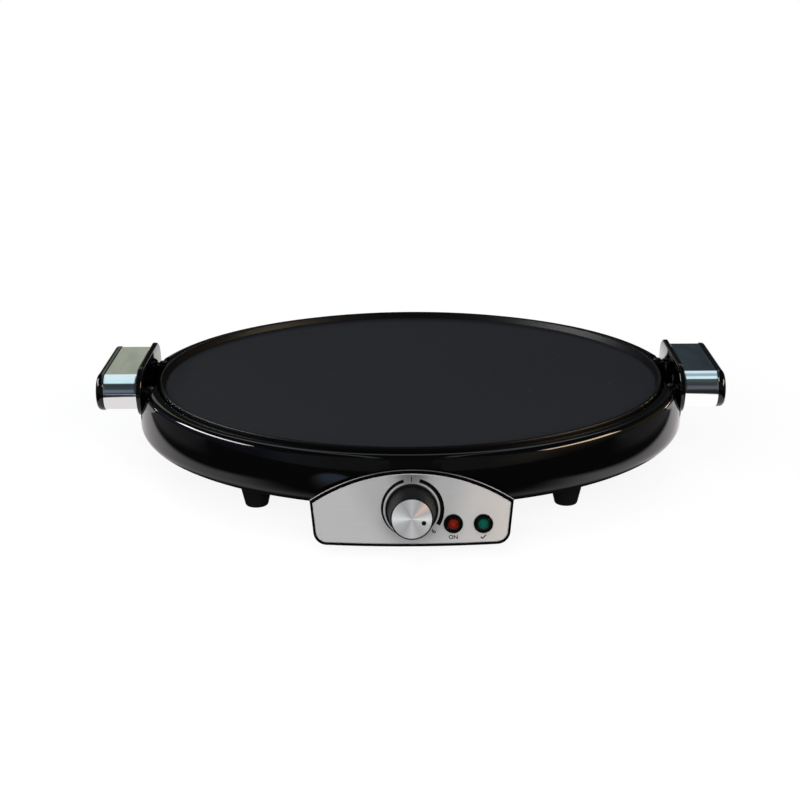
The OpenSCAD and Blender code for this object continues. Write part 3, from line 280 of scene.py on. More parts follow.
def piece(name, parts, nodes, look, body="base"):
    """Joins the parts into one smooth-shaded object that stands for those CAD nodes."""
    sharp_from = 32
    whole = bmesh.new()
    for part in parts:
        loose = bpy.data.meshes.new("part")
        part.to_mesh(loose)
        whole.from_mesh(loose)
        bpy.data.meshes.remove(loose)
    bmesh.ops.recalc_face_normals(whole, faces=whole.faces)
    data = bpy.data.meshes.new(name)
    whole.to_mesh(data)
    data.shade_smooth()
    data.set_sharp_from_angle(angle=math.radians(sharp_from))
    data.materials.append(look)
    made = bpy.data.objects.new(name, data)
    scene.collection.objects.link(made)
    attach(made, body)
    if nodes:
        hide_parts(*nodes)
    return made


plate_r, rim_z, surface_z, under_z, surface_r, plate_edge = 150, 54, 49.6, 44.6, 145.2, 1
rim_round, rim_fillet, rim_lean = 1.1, 1.6, 25
element_r, rib_in, rib_out, rib_low = 94.98, 3.55, 6.05, 37.5
# The coating gives a flat charcoal with a faint bluish sheen, a sprayed grain, slow clouds and a few pale
# specks of dust, one in ten cells. The real grain is finer, and is drawn as coarse as it needs to show.
grain, cloud_w, dust_pitch = 0.3846, 111.1, 23.81
coating, tree, coords = blank("non-stick coating")
fine = node(tree, "TexNoise", {"Vector": coords, "Scale": per_metre(grain), "Detail": 2}).outputs["Fac"]
cloud = node(tree, "TexNoise", {"Vector": coords, "Scale": per_metre(cloud_w), "Detail": 3}).outputs["Fac"]
tone = node(tree, "Mix", {0: cloud, 6: linear("#24252b"), 7: linear("#282930")}, data_type="RGBA").outputs[2]
cells = node(tree, "TexVoronoi", {"Vector": coords, "Scale": per_metre(dust_pitch)}, voronoi_dimensions="2D")
chance = node(tree, "SeparateColor", {0: cells.outputs["Color"]}).outputs[0]
speck = node(tree, "MapRange", {0: cells.outputs["Distance"], 1: 0.03, 2: 0.018, 4: 0.35}).outputs[0]
rare = node(tree, "Math", {0: chance, 1: 0.9}, operation="GREATER_THAN").outputs[0]
dust = node(tree, "Math", {0: speck, 1: rare}, operation="MULTIPLY").outputs[0]
tone = node(tree, "Mix", {0: dust, 6: tone, 7: linear("#8a8a8c")}, data_type="RGBA").outputs[2]
flat = node(
    tree, "Mapping", {"Vector": coords, "Location": (0, -axis_y * MM, 0), "Scale": (1, 1, 0)}
).outputs[0]
reach = node(tree, "VectorMath", {0: flat}, operation="LENGTH").outputs["Value"]
# Over the rounded rim the colour turns near black, a painted shade, and the coating there is a little
# glossier
rim_shade_and_gloss = node(tree, "MapRange", {0: reach, 1: (surface_r + 0.1) * MM, 2: (surface_r + 1.4) * MM}).outputs[0]
tone = node(tree, "Mix", {0: rim_shade_and_gloss, 6: tone, 7: linear("#060607")}, data_type="RGBA").outputs[2]
dull = node(tree, "MapRange", {0: fine, 3: 0.5, 4: 0.64}).outputs[0]
dull = node(tree, "Mix", {0: rim_shade_and_gloss, 2: dull, 3: 0.4}).outputs["Result"]
skin = node(tree, "Bump", {"Height": fine, "Strength": 0.12, "Distance": 0.0002}).outputs[0]
coat = {"Base Color": tone, "Roughness": dull, "Normal": skin, "IOR": 1.3}
node(tree, "OutputMaterial", {"Surface": node(tree, "BsdfPrincipled", coat).outputs[0]})

upright = Matrix.Translation((0, axis_y * MM, 0))
profile = [(0, under_z)]
for near, far in ((-rib_out, -rib_in), (rib_in, rib_out)):
    profile += [(element_r + near, under_z), (element_r + near, rib_low)]
    profile += [(element_r + far, rib_low), (element_r + far, under_z)]
profile += [(plate_r - plate_edge, under_z), (plate_r, under_z + plate_edge)]
profile += arc(plate_r - rim_round, rim_z - rim_round, rim_round, 0, 180 - rim_lean, 10)
profile += arc(surface_r, surface_z + rim_fillet, rim_fillet, -rim_lean, -90, 8)
# Two more rings keep the flat's faces short
profile += [(surface_r - 30, surface_z), (surface_r - 90, surface_z), (0, surface_z)]
piece("plate", [spun(profile, 256, upright)], ["cooking_plate"], coating)


# Heating parts: a sheathed tube bent to a ring under the plate, steel straps and spacers, a pressed shield
# over the cover, and the thermostat's copper bulb in its clip. They are bolted up inside the base.
def dress(look, *names):
    """Gives CAD nodes that stay in view, or inside the base, a real finish."""
    for name in names:
        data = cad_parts[name].data
        data.materials.clear()
        data.materials.append(look)


def finish(name, dark, light, grain, rough, metallic, depth=0.1, **more):
    """A surface whose tone, gloss and height vary a little with a noise of that grain."""
    look, tree, coords = blank(name)
    speckle = node(
        tree, "TexNoise", {"Vector": coords, "Scale": per_metre(grain), "Detail": 3}
    ).outputs["Fac"]
    tone = node(tree, "Mix", {0: speckle, 6: linear(dark), 7: linear(light)}, data_type="RGBA")
    dull = node(tree, "MapRange", {0: speckle, 1: 0.3, 2: 0.7, 3: rough[0], 4: rough[1]})
    skin = node(tree, "Bump", {"Height": speckle, "Strength": depth, "Distance": 0.0002})
    inputs = {"Base Color": tone.outputs[2], "Roughness": dull.outputs[0], "Normal": skin.outputs[0]}
    shader = node(tree, "BsdfPrincipled", {**inputs, "Metallic": metallic, **more})
    node(tree, "OutputMaterial", {"Surface": shader.outputs[0]})
    return look


# Heat-browned steel, bright and blackened zinc plate and drawn copper each have a mottle a few millimetres
# wide. The dull galvanised sheet shows its larger spangle.
browned = finish("heat-browned steel", "#4a382e", "#6b5244", 3.333, (0.4, 0.6), 1.0)
zinc = finish("zinc-plated steel", "#9a9da0", "#c3c6c8", 2, (0.25, 0.4), 1.0)
black_zinc = finish("black zinc-plated steel", "#2c2d2f", "#5d5e60", 1.111, (0.25, 0.45), 1.0)
galvanised = finish("galvanised sheet", "#8d9093", "#b4b7b9", 16.67, (0.3, 0.5), 1.0)
copper = finish("drawn copper", "#a9683f", "#c4835a", 2.5, (0.25, 0.4), 1.0)
dress(browned, "heating_element")
dress(zinc, "element_clamps", "clamp_screws", "upper_spacers", "lower_spacers", "bulb_clip", "thermostat_nut")
dress(galvanised, "heat_shield")
dress(copper, "capillary")


# Base shell: one black polished moulding with a bulged wall, a rounded shoulder, an inner flange for the
# cover and a recess at each handle. An arched opening at the front takes the control housing's neck.
def combined(bm, other, operation):
    """bm joined with, cut by or limited to another closed mesh."""
    pair = []
    for part in (bm, other):
        data = bpy.data.meshes.new("part")
        part.to_mesh(data)
        pair.append(bpy.data.objects.new("part", data))
        scene.collection.objects.link(pair[-1])
    change = pair[0].modifiers.new("change", "BOOLEAN")
    change.operation, change.object, change.solver = operation, pair[1], "EXACT"
    done = pair[0].evaluated_get(bpy.context.evaluated_depsgraph_get()).to_mesh()
    bm.clear()
    bm.from_mesh(done)
    for obj in pair:
        data = obj.data
        bpy.data.objects.remove(obj)
        bpy.data.meshes.remove(data)
    return bm


def block(low, high, edge=0):
    """A box between two corners, with its edges rounded."""
    made = bmesh.new()
    bmesh.ops.create_cube(made, size=1)
    low, high = Vector(low) * MM, Vector(high) * MM
    bmesh.ops.scale(made, vec=high - low, verts=made.verts)
    bmesh.ops.translate(made, vec=(low + high) / 2, verts=made.verts)
    if edge:
        rounding = {"segments": 4, "profile": 0.5, "affect": "EDGES", "material": -1}
        bmesh.ops.bevel(made, geom=made.edges[:], offset=edge * MM, **rounding)
    return made


def lofted(rings, place=Matrix(), closed=False):
    """A skin over outlines of equal count, each given with its height; its ends are filled, or joined when
    closed."""
    made = bmesh.new()
    loops = []
    for outline, z in rings:
        verts = [made.verts.new((x * MM, y * MM, z * MM)) for x, y in outline]
        loops.append([made.edges.new(pair) for pair in zip(verts, verts[1:] + verts[:1])])
    for low, high in zip(loops, loops[1:] + (loops[:1] if closed else [])):
        bmesh.ops.bridge_loops(made, edges=low + high)
    if not closed:
        for end in (loops[0], loops[-1]):
            bmesh.ops.contextual_create(made, geom=end)
    bmesh.ops.transform(made, matrix=place, verts=made.verts)
    bmesh.ops.recalc_face_normals(made, faces=made.faces)
    return made


# A deep black that only shows what it mirrors, with a moulding's slow waves and a breath of haze in
# millimetre spots.
wave_w, haze_w = 38.46, 1.111
gloss, tree, coords = blank("polished black moulding")
ripple = node(tree, "TexNoise", {"Vector": coords, "Scale": per_metre(wave_w), "Detail": 1}).outputs["Fac"]
film = node(tree, "TexNoise", {"Vector": coords, "Scale": per_metre(haze_w), "Detail": 2}).outputs["Fac"]
haze = node(tree, "MapRange", {0: film, 1: 0.35, 2: 0.75, 3: 0.04, 4: 0.09}).outputs[0]
wave = node(tree, "Bump", {"Height": ripple, "Strength": 0.04, "Distance": 0.002}).outputs[0]
tone = node(tree, "Mix", {0: film, 6: linear("#040405"), 7: linear("#070708")}, data_type="RGBA").outputs[2]
polish = {"Base Color": tone, "Roughness": haze, "Normal": wave, "IOR": 1.47}
node(tree, "OutputMaterial", {"Surface": node(tree, "BsdfPrincipled", polish).outputs[0]})

shell_z, shoulder_z, shell_r, shoulder_r, lip_r, wall_t = 24, 52, 161.7, 156.4, 151.2, 2.6
shoulder_round, bottom_round, lip_round, bulge, bulge_h = 3.4, 6, 0.5, 1.9, 8.5
wall_rise = shoulder_z - shell_z - shoulder_round - bulge_h
wall_r = (bulge**2 + wall_rise**2) / (2 * bulge) + shoulder_round
wall_c, bulge_z = shell_r - wall_r, shell_z + bulge_h
top_a = math.degrees(math.asin(wall_rise / (wall_r - shoulder_round)))
low_a = math.degrees(math.asin((bulge_h - bottom_round) / (wall_r - bottom_round)))
bottom_c = wall_c + (wall_r - bottom_round) * math.cos(math.radians(low_a))
step_r, flange_r, seat_z, flange_z = bottom_c - 0.5, bottom_c - 5, 25.8, 28.4
shell_steps = 288


def shell_outside(inset):
    """Outer wall of the shell from its bottom edge to its shoulder, or a wall inside it."""
    return (
        arc(bottom_c, shell_z + bottom_round, bottom_round - inset, -90, -low_a, 10)
        + arc(wall_c, bulge_z, wall_r - inset, -low_a, top_a, 18)[1:]
        + arc(shoulder_r, shoulder_z - shoulder_round, shoulder_round - inset, top_a, 90, 12)[1:]
    )


inside = [p for p in shell_outside(wall_t) if p[1] > flange_z]
profile = shell_outside(0) + arc(lip_r + lip_round, shoulder_z - lip_round, lip_round, 90, 180, 4)
profile += [(lip_r, shoulder_z - wall_t)] + inside[::-1] + [(inside[0][0], flange_z)]
profile += [(flange_r, flange_z), (flange_r, seat_z), (step_r, seat_z), (step_r, shell_z)]
shell = spun(profile, shell_steps, closed=True)

tilt, panel_y, panel_z, panel_h, panel_w = 6, -168.2, 6.222, 40.5, 104.7
panel_shoulder, side_lean, corner, bow_r = 24.8, 5.7, 7, 880
leaning = Matrix.Rotation(math.radians(90 - tilt), 4, "X")
on_panel = Matrix.Translation(Vector((0, axis_y + panel_y, panel_z)) * MM) @ leaning


def panel_outline(inset, arch_in=0):
    """The control panel's outline: bowed lower edge, rounded corners, sides that lean in and an arched
    top."""
    lean = math.radians(side_lean)
    arch_drop = panel_h - panel_shoulder
    arch_r = (arch_drop**2 + (panel_w / 2) ** 2) / (2 * arch_drop)
    top_r = arch_r - inset - arch_in
    # The lower corner's centre lies on lines beside the bow and the side: a few rounds settle it
    x, s = 0, corner
    for _ in range(4):
        x = panel_w / 2 - (panel_shoulder - s) * math.tan(lean) - corner / math.cos(lean)
        s = bow_r - math.sqrt((bow_r - corner) ** 2 - x**2)
    bow_a = math.degrees(math.atan2(x, bow_r - s))
    r = corner - inset
    up = Vector((math.sin(lean), math.cos(lean)))
    w = Vector((x + r * math.cos(lean), s - r * math.sin(lean) - panel_h + arch_r))
    meet = w + up * (-w.dot(up) + math.sqrt(w.dot(up) ** 2 - w.dot(w) + top_r**2))
    a = math.degrees(math.atan2(meet.y, meet.x))
    return (
        arc(0, bow_r, bow_r - inset, -90 - 0.9 * bow_a, -90 + 0.9 * bow_a, 12)
        + arc(x, s, r, -90 + bow_a, -side_lean, 12)
        + arc(0, panel_h - arch_r, top_r, a, 180 - a, 64)
        + arc(-x, s, r, 180 + side_lean, 270 - bow_a, 12)
    )


# A tray under each recess, then the walls at its two ends, then the recess itself, cut out of them all
recess_half, recess_z, tray_t, tray_top, tray_out, far_x, far_z = 40, 35, 2.4, 44.2, 164, 200, 80
wall_in, wall_out, bite, sliver = 140, 170, 1, 0.01
middle_line = shell_outside(wall_t / 2)
solid = spun([(0, shell_z + 1)] + middle_line + [(0, shoulder_z - wall_t / 2)], shell_steps)
for hand in (-1, 1):
    ends = sorted((hand * (plate_r - tray_t), hand * tray_out))
    tray = block(
        (ends[0], -recess_half - tray_t, recess_z - tray_t), (ends[1], recess_half + tray_t, tray_top)
    )
    combined(shell, combined(tray, solid, "INTERSECT"), "UNION")
ring_z = shell_z + 2
upper_wall = [p for p in shell_outside(sliver)[::-1] if p[1] > ring_z]
ring = spun([(lip_r, ring_z), (lip_r, shoulder_z - sliver)] + upper_wall, shell_steps, closed=True)
for hand in (-1, 1):
    for end in (-1, 1):
        ends_x = sorted((hand * wall_in, hand * wall_out))
        ends_y = sorted((end * (recess_half - bite), end * (recess_half + tray_t)))
        wall = block((ends_x[0], ends_y[0], recess_z - bite), (ends_x[1], ends_y[1], shoulder_z + bite))
        combined(shell, combined(wall, ring, "INTERSECT"), "UNION")
for hand in (-1, 1):
    ends = sorted((hand * plate_r, hand * far_x))
    combined(shell, block((ends[0], -recess_half, recess_z), (ends[1], recess_half, far_z)), "DIFFERENCE")
bmesh.ops.transform(shell, matrix=upright, verts=shell.verts)
# The panel's opening, and the gland's slot in the rear wall, wider inside
neck_in, fit, through = 2.6, 0.3, 40
opening = panel_outline(neck_in - fit)
combined(shell, lofted([(opening, -through), (opening, through)], on_panel), "DIFFERENCE")
gland_z, neck_y, slot_half, slot_in, slot_out, wide_half, wide_in = 29.5, 158.8, 5.8, 150, 180, 7.8, 142
top_in, top_l = 158, 20
combined(
    shell, block((-slot_half, axis_y + slot_in, 0), (slot_half, axis_y + slot_out, gland_z)), "DIFFERENCE"
)
wide_top = (wide_half, axis_y + neck_y, gland_z + wide_half)
combined(shell, block((-wide_half, axis_y + wide_in, 0), wide_top), "DIFFERENCE")
rearward = Matrix.Rotation(math.radians(-90), 4, "X")
slot_top = Matrix.Translation(Vector((0, axis_y + top_in, gland_z)) * MM) @ rearward
combined(shell, spun([(0, 0), (slot_half, 0), (slot_half, top_l), (0, top_l)], 48, slot_top), "DIFFERENCE")
piece("shell", [shell], ["base_shell"], gloss)

# Bottom cover: a pressed steel pan with vent slots, stoved satin black and screwed to the shell's flange. On
# it, inside, stand the terminal block, the cord clamp, the fuse and the leads.
# Stoved paint has a fine orange peel. The mouldings are chalky, the leads rubbery and the brass turned
# bright.
paint = finish("stoved black paint", "#161617", "#1d1d1f", 1.429, (0.34, 0.48), 0.0, depth=0.15)
natural = finish("natural heat-proof moulding", "#cfc8b8", "#ddd7c9", 5, (0.45, 0.6), 0.0)
silicone = finish("red silicone lead", "#8c3226", "#a03c2e", 1.111, (0.5, 0.65), 0.0)
brass = finish("turned brass", "#b09a55", "#c9b36a", 1.667, (0.25, 0.4), 1.0)
dress(paint, "bottom_cover")
dress(natural, "terminal_block", "cord_clamp", "power_lamp_holder", "ready_lamp_holder", "thermostat_body")
dress(silicone, "internal_wires")
dress(brass, "thermal_fuse", "thermostat_spindle")

# Feet: four tapered black mouldings with a rounded lower edge. Each is held against the cover by one screw
# from inside the base.
foot_h, foot_top, foot_low, foot_round = 16, 10, 6.5, 1.4
# A satin black with a spark-eroded grain, which is finer on the real one and drawn as coarse as it needs to
# show.
satin = finish("satin black moulding", "#1a1a1b", "#212122", 0.6667, (0.3, 0.44), 0.0, depth=0.2)
profile = [(0, 0)] + arc(foot_low - foot_round, foot_round, foot_round, -90, -12, 8)
profile += [(foot_top, foot_h), (0, foot_h)]
for name in ("foot_front_left", "foot_front_right", "foot_rear_left", "foot_rear_right"):
    low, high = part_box(name)
    stand = Matrix.Translation(((low.x + high.x) / 2, (low.y + high.y) / 2, 0))
    piece(name.replace("foot_", "stand_"), [spun(profile, 64, stand)], [name], satin)

# Control housing: a black moulding whose arched frame holds the fascia, with a neck through the shell. Its
# box under the base takes the thermostat, and two sunk screws hold it to the cover.
lip_back, fascia_set, fascia_t, bezel_w = -3.1, 0.5, 0.8, 1.1
bezel_top, frame_round, inner_round = 0.9, 0.5, 0.15
pocket_z = -fascia_set - fascia_t
edge = [(panel_outline(frame_round - dx), -frame_round + dz) for dx, dz in arc(0, 0, frame_round, 0, 90, 5)]
inner = [
    (panel_outline(bezel_w - dx, bezel_top), dz - inner_round) for dx, dz in arc(0, 0, inner_round, 90, 0, 3)
]
lip = lofted([(panel_outline(0), lip_back)] + edge + inner + [(panel_outline(bezel_w, bezel_top), pocket_z)])
knob_s, lamp_s, lamps, spindle_hole, lamp_hole = 19.6, 12.1, (21.3, 36.7), 5.15, 4.15
holes = [(0, knob_s, spindle_hole)] + [(x, lamp_s, lamp_hole) for x in lamps]


def bored(bm, holes):
    """bm, still flat on the panel's plane, with round holes through it, then put on the panel."""
    reach = 9
    for x, s, r in holes:
        at = Matrix.Translation((x * MM, s * MM, 0))
        combined(bm, spun([(0, -reach), (r, -reach), (r, reach), (0, reach)], 48, at), "DIFFERENCE")
    bmesh.ops.transform(bm, matrix=on_panel, verts=bm.verts)
    return bm


# The neck and the box come from the CAD node's mesh, cut off behind the new frame
neck_and_box = bmesh.new()
neck_and_box.from_mesh(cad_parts["control_housing"].data)
bmesh.ops.remove_doubles(neck_and_box, verts=neck_and_box.verts, dist=1e-6)
past, lap, ahead_z = panel_outline(-3), 0.05, 20
combined(neck_and_box, lofted([(past, lip_back + lap), (past, ahead_z)], on_panel), "DIFFERENCE")
housing = piece("housing", [bored(lip, holes), neck_and_box], ["control_housing"], gloss)
# The frame's front edge along the arch carries a painted highlight: a thin pale line, lighter to the ends.
edge_highlight, tree, coords = blank("painted highlight on the frame's edge")
along = node(tree, "SeparateXYZ", {"Vector": coords}).outputs["X"]
along = node(tree, "Math", {0: along}, operation="ABSOLUTE").outputs[0]
along = node(tree, "MapRange", {0: along, 1: 18 * MM, 2: 42 * MM}).outputs[0]
tone = node(tree, "Mix", {0: along, 6: linear("#515154"), 7: linear("#bcb0b2")}, data_type="RGBA").outputs[2]
matt = node(tree, "BsdfPrincipled", {"Base Color": tone, "Roughness": 0.5})
node(tree, "OutputMaterial", {"Surface": matt.outputs[0]})
housing.data.materials.append(edge_highlight)
flat_panel = on_panel.inverted()
# The faces of the frame's rounded edge along the arch take the painted highlight
for face in housing.data.polygons:
    at, way = flat_panel @ face.center, flat_panel.to_3x3() @ face.normal
    on_edge = at.z > -frame_round * MM and at.y > (panel_shoulder - 1) * MM
    face.material_index = int(on_edge and way.y > 0.2 and way.z < 0.98)

# Fascia: a thin aluminium plate that lies in the frame, brushed along its length, with a bright cut edge. The
# lamps' bezels, pushed in through it, hold it in place.
cut_edge, fascia_in = 0.45, bezel_w + fit / 2
# Silver with lines along its length, drawn coarser than the real ones so that they show. Painted light makes
# it warmer and paler at the right, and a painted reflection of the black shell above dims it round the arch's
# crown.
line_l, line_w, dim_r = 27.78, 0.1852, 36
brushed, tree, coords = blank("brushed aluminium")
lines = {"Vector": coords, "Scale": (per_metre(line_l), per_metre(line_w), per_metre(line_w))}
lines = node(tree, "Mapping", lines).outputs[0]
brush = node(tree, "TexNoise", {"Vector": lines, "Scale": 1, "Detail": 4}).outputs["Fac"]
dull = node(tree, "MapRange", {0: brush, 3: 0.36, 4: 0.5}).outputs[0]
tone = node(tree, "Mix", {0: brush, 6: linear("#dededf"), 7: linear("#eeeded")}, data_type="RGBA").outputs[2]
# Painted reflection: the colour darkens towards the arch's crown, as the black shell above would show in it
crown = on_panel @ Vector((0, (panel_h - 1) * MM, 0))
away = node(tree, "VectorMath", {0: coords, 1: crown}, operation="DISTANCE").outputs["Value"]
away = node(tree, "MapRange", {0: away, 2: dim_r * MM}).outputs[0]
dim_stops = [(0, 0.19), (0.165, 0.38), (0.275, 0.68), (0.4, 0.82), (0.7, 0.86), (1, 1)]
painted_crown_reflection = node(tree, "ValToRGB", {0: away}, dim_stops).outputs[0]
tone = node(tree, "Mix", {0: 1.0, 6: tone, 7: painted_crown_reflection}, data_type="RGBA", blend_type="MULTIPLY").outputs[2]
across = node(tree, "SeparateXYZ", {"Vector": coords}).outputs["X"]
# Painted light: the right end turns paler and warm
painted_warm_light = node(tree, "MapRange", {0: across, 1: 20 * MM, 2: 50 * MM}).outputs[0]
tone = node(tree, "Mix", {0: painted_warm_light, 6: tone, 7: linear("#fff6ef")}, data_type="RGBA").outputs[2]
skin = node(tree, "Bump", {"Height": brush, "Strength": 0.06, "Distance": 0.0002}).outputs[0]
metal = node(
    tree, "BsdfPrincipled", {"Base Color": tone, "Metallic": 0.35, "Roughness": dull, "Normal": skin}
)
node(tree, "OutputMaterial", {"Surface": metal.outputs[0]})
fascia = lofted([
    (panel_outline(fascia_in, bezel_top), pocket_z),
    (panel_outline(fascia_in, bezel_top), -fascia_set - cut_edge),
    (panel_outline(fascia_in + cut_edge, bezel_top), -fascia_set),
])
fascia_piece = piece("fascia", [bored(fascia, holes)], ["fascia_plate"], brushed)
# The edge left by the press tool: a bright, nearly white line
cut = finish("bright cut aluminium", "#e9e9ea", "#f4f4f4", 1.111, (0.3, 0.45), 0.1)
fascia_piece.data.materials.append(cut)
ahead_way = on_panel.to_3x3() @ Vector((0, 0, 1))
for face in fascia_piece.data.polygons:
    face.material_index = int(0.2 < face.normal.dot(ahead_way) < 0.95)

# Print: black ink, screen-printed on the fascia and dried to a thin film. A band that widens clockwise round
# the knob, with plain marks.
ink_z, band_in, bolder, figure_h, word_h = -fascia_set + 0.03, 14.6, 0.06, 3.6, 3.0
low_place, high_place, word_s, tick_s = (0, knob_s + 15.7), (11.2, knob_s - 11.6), 4.8, 4.7
band = [(-31, 2.15), (0, 2.1), (75, 1.95), (105, 1.75), (180, 1.2), (215, 0.7), (240, 0.15)]
# Dense flat black, with a faint mottle from the screen's mesh, drawn coarser than the real one.
ink = finish("black screen ink", "#080809", "#0c0c0d", 0.8333, (0.5, 0.6), 0.0, IOR=1.2)


def printed_band(start, end, n):
    """A flat stretch of the band between two angles."""
    made = bmesh.new()
    inner, outer = [], []
    for i in range(n + 1):
        a = start + (end - start) * i / n
        (a0, w0), (a1, w1) = next((p, q) for p, q in zip(band, band[1:]) if p[0] <= a <= q[0])
        width = w0 + (w1 - w0) * (a - a0) / (a1 - a0)
        turned = Vector((math.cos(math.radians(a)), math.sin(math.radians(a)), 0))
        for row, r in ((inner, band_in), (outer, band_in + width)):
            row.append(made.verts.new((turned * r + Vector((0, knob_s, ink_z))) * MM))
    edges = [made.edges.new(pair) for row in (inner, outer) for pair in zip(row, row[1:])]
    bmesh.ops.bridge_loops(made, edges=edges)
    bmesh.ops.transform(made, matrix=on_panel, verts=made.verts)
    return made


def printed_mark(text, size, x, s, turn=0):
    """Plain figures in the built-in letter, made a flat mesh on the fascia."""
    curve = bpy.data.curves.new("mark", "FONT")
    curve.body, curve.size, curve.align_x, curve.align_y = text, size * MM, "CENTER", "CENTER"
    curve.offset = bolder * MM
    obj = bpy.data.objects.new("mark", curve)
    scene.collection.objects.link(obj)
    made = bmesh.new()
    made.from_mesh(obj.evaluated_get(bpy.context.evaluated_depsgraph_get()).to_mesh())
    bpy.data.objects.remove(obj)
    bpy.data.curves.remove(curve)
    place = Matrix.Translation(Vector((x, s, ink_z)) * MM) @ Matrix.Rotation(math.radians(turn), 4, "Z")
    bmesh.ops.transform(made, matrix=on_panel @ place, verts=made.verts)
    return made


tick = [(-1.5, 0.1), (-1.05, 0.5), (-0.4, -0.15), (1.1, 1.35), (1.5, 0.95), (-0.4, -0.95)]
tick_face = bmesh.new()
tick_face.faces.new([tick_face.verts.new(Vector((lamps[1] + x, tick_s + y, ink_z)) * MM) for x, y in tick])
bmesh.ops.transform(tick_face, matrix=on_panel, verts=tick_face.verts)
marks = [printed_mark("1", figure_h, *low_place), printed_mark("6", figure_h, *high_place, turn=44)]
marks.append(printed_mark("ON", word_h, lamps[0], word_s))
bands = [printed_band(-31, 75, 64), printed_band(105, 240, 72)]
piece("print", bands + [tick_face] + marks, [], ink)

# Knob: a satin dark grey moulding with a flange and a tapered grip, pushed on the thermostat's flatted
# spindle. A post comes up through the cap as its pointer.
knob_z, knob_top, knob_flange_r, base_r, front_r = -0.1, 19.5, 13.6, 12.6, 10.8
flange_h, knob_edge, hollow_r, hub_r, bore_r, hub_z, roof_z = 1.7, 0.5, 8.8, 5.2, 3.05, 4.7, 14.5
cap_t, cap_r, cap_clear, cap_proud = 1, 10.1, 0.08, 0.1
dot_r, dot_edge, dot_out, dot_a = 1.15, 0.15, 6.4, math.radians(-19)
# Dark grey, dull and even, with a grain that is finer on the real one and drawn as coarse as it needs to
# show.
grip = finish("satin dark grey moulding", "#0b0c0d", "#101113", 0.5556, (0.4, 0.5), 0.0, depth=0.12, IOR=1.3)
on_knob = on_panel @ Matrix.Translation((0, knob_s * MM, 0))
at_dot = Matrix.Translation((dot_out * math.cos(dot_a) * MM, dot_out * math.sin(dot_a) * MM, 0))
seat_top, front_top, flange_top = knob_top - cap_t, knob_top - cap_proud, knob_z + flange_h
profile = [(hollow_r, knob_z), (knob_flange_r, knob_z)]
profile += arc(knob_flange_r - knob_edge, flange_top - knob_edge, knob_edge, 0, 90, 5)
profile += [(base_r, flange_top)] + arc(front_r - knob_edge, front_top - knob_edge, knob_edge, 8, 90, 5)
profile += [(cap_r + cap_clear, front_top), (cap_r + cap_clear, seat_top), (0, seat_top)]
profile += [
    (0, roof_z + 1), (bore_r, roof_z + 1), (bore_r, hub_z), (hub_r, hub_z), (hub_r, roof_z),
    (hollow_r, roof_z)
]
post = [(0, seat_top - 1), (dot_r, seat_top - 1)] + arc(dot_r - dot_edge, front_top, dot_edge, 0, 90, 3)
post = spun(post + [(0, front_top + dot_edge)], 32, on_knob @ at_dot)
piece("knob", [spun(profile, 128, on_knob, closed=True), post], ["knob_body"], grip, "knob")

# Cap: a turned aluminium disc pressed in the knob's front, with a hole for the pointer's post. The lathe
# leaves concentric tool lines on its face.
line_pitch, cap_edge, dot_hole = 0.06313, 0.15, 1.2
# Pale and grey spokes, one of them warm, are painted highlights in its colour by the angle round the disc;
# the lines spread its gloss. The turning map's U goes round the disc, and its V from the middle to the edge.
turned_painted_spokes, tree, coords = blank("turned aluminium")
wheel = node(tree, "UVMap", uv_map="turning").outputs[0]
about = node(tree, "SeparateXYZ", {"Vector": wheel}).outputs["X"]
shifted = node(tree, "Math", {0: about, 1: 0.5}, operation="ADD").outputs[0]
# Painted highlights: pale and grey spokes by the angle round the disc, one of them warm
shares = (0, 0.06, 0.16, 0.25, 0.33, 0.45, 0.5, 0.56, 0.62, 0.68, 0.75, 0.83, 0.91, 1)
codes = "#f4f4f4 #c6c7c9 #b4b5b8 #d6d6d7 #b9babc #cfcfd0 #f6f5f4".split()
codes += "#bfbfc1 #eed3c6 #b3b3b6 #cfd0d2 #aeafb3 #c9cacc #f4f4f4".split()
painted_spoke_stops = [(share, linear(code)[:3]) for share, code in zip(shares, codes)]
painted_spoke_light = node(tree, "ValToRGB", {0: shifted}, painted_spoke_stops).outputs[0]
groove = node(tree, "Mapping", {"Vector": wheel, "Scale": (0, 1, 0)}).outputs[0]
lathe = node(tree, "TexNoise", {"Vector": groove, "Scale": cap_r / line_pitch, "Detail": 3}).outputs["Fac"]
dull = node(tree, "MapRange", {0: lathe, 3: 0.24, 4: 0.36}).outputs[0]
around = node(tree, "Tangent", direction_type="UV_MAP", uv_map="turning").outputs[0]
turned_face = {
    "Base Color": painted_spoke_light, "Metallic": 0.12, "Roughness": dull, "Anisotropic": 0.75, "Tangent": around
}
node(tree, "OutputMaterial", {"Surface": node(tree, "BsdfPrincipled", turned_face).outputs[0]})
profile = [(0, seat_top), (cap_r, seat_top), (cap_r, knob_top - cap_edge), (cap_r - cap_edge, knob_top)]
profile += [(r, knob_top) for r in (8, 5, 2.5, 1, 0)]
disc = spun(profile, 128)
combined(disc, spun([(0, 0), (dot_hole, 0), (dot_hole, 40), (0, 40)], 32, at_dot), "DIFFERENCE")
layer = disc.loops.layers.uv.new("turning")
for face in disc.faces:
    centre = face.calc_center_median()
    face_a = math.atan2(centre.y, centre.x)
    for loop in face.loops:
        off = Vector((loop.vert.co.x, loop.vert.co.y))
        a = math.atan2(off.y, off.x) if off.length > 1e-5 else face_a
        a += math.tau * round((face_a - a) / math.tau)
        loop[layer].uv = (a / math.tau, off.length / (cap_r * MM))
bmesh.ops.transform(disc, matrix=on_knob, verts=disc.verts)
piece("cap", [disc], ["knob_cap"], turned_painted_spokes, "knob")

# Lamps: a black bezel through the panel with a clear coloured lens, domed outside and snapped in from the
# front.
bezel_r, bezel_h, bezel_round, barrel_r, barrel_z = 5, 1.4, 0.5, 4, -6.1
lens_r, lens_clear, lens_sunk, mouth_round, dome = 3.5, 0.05, 0.25, 0.3, 1.1
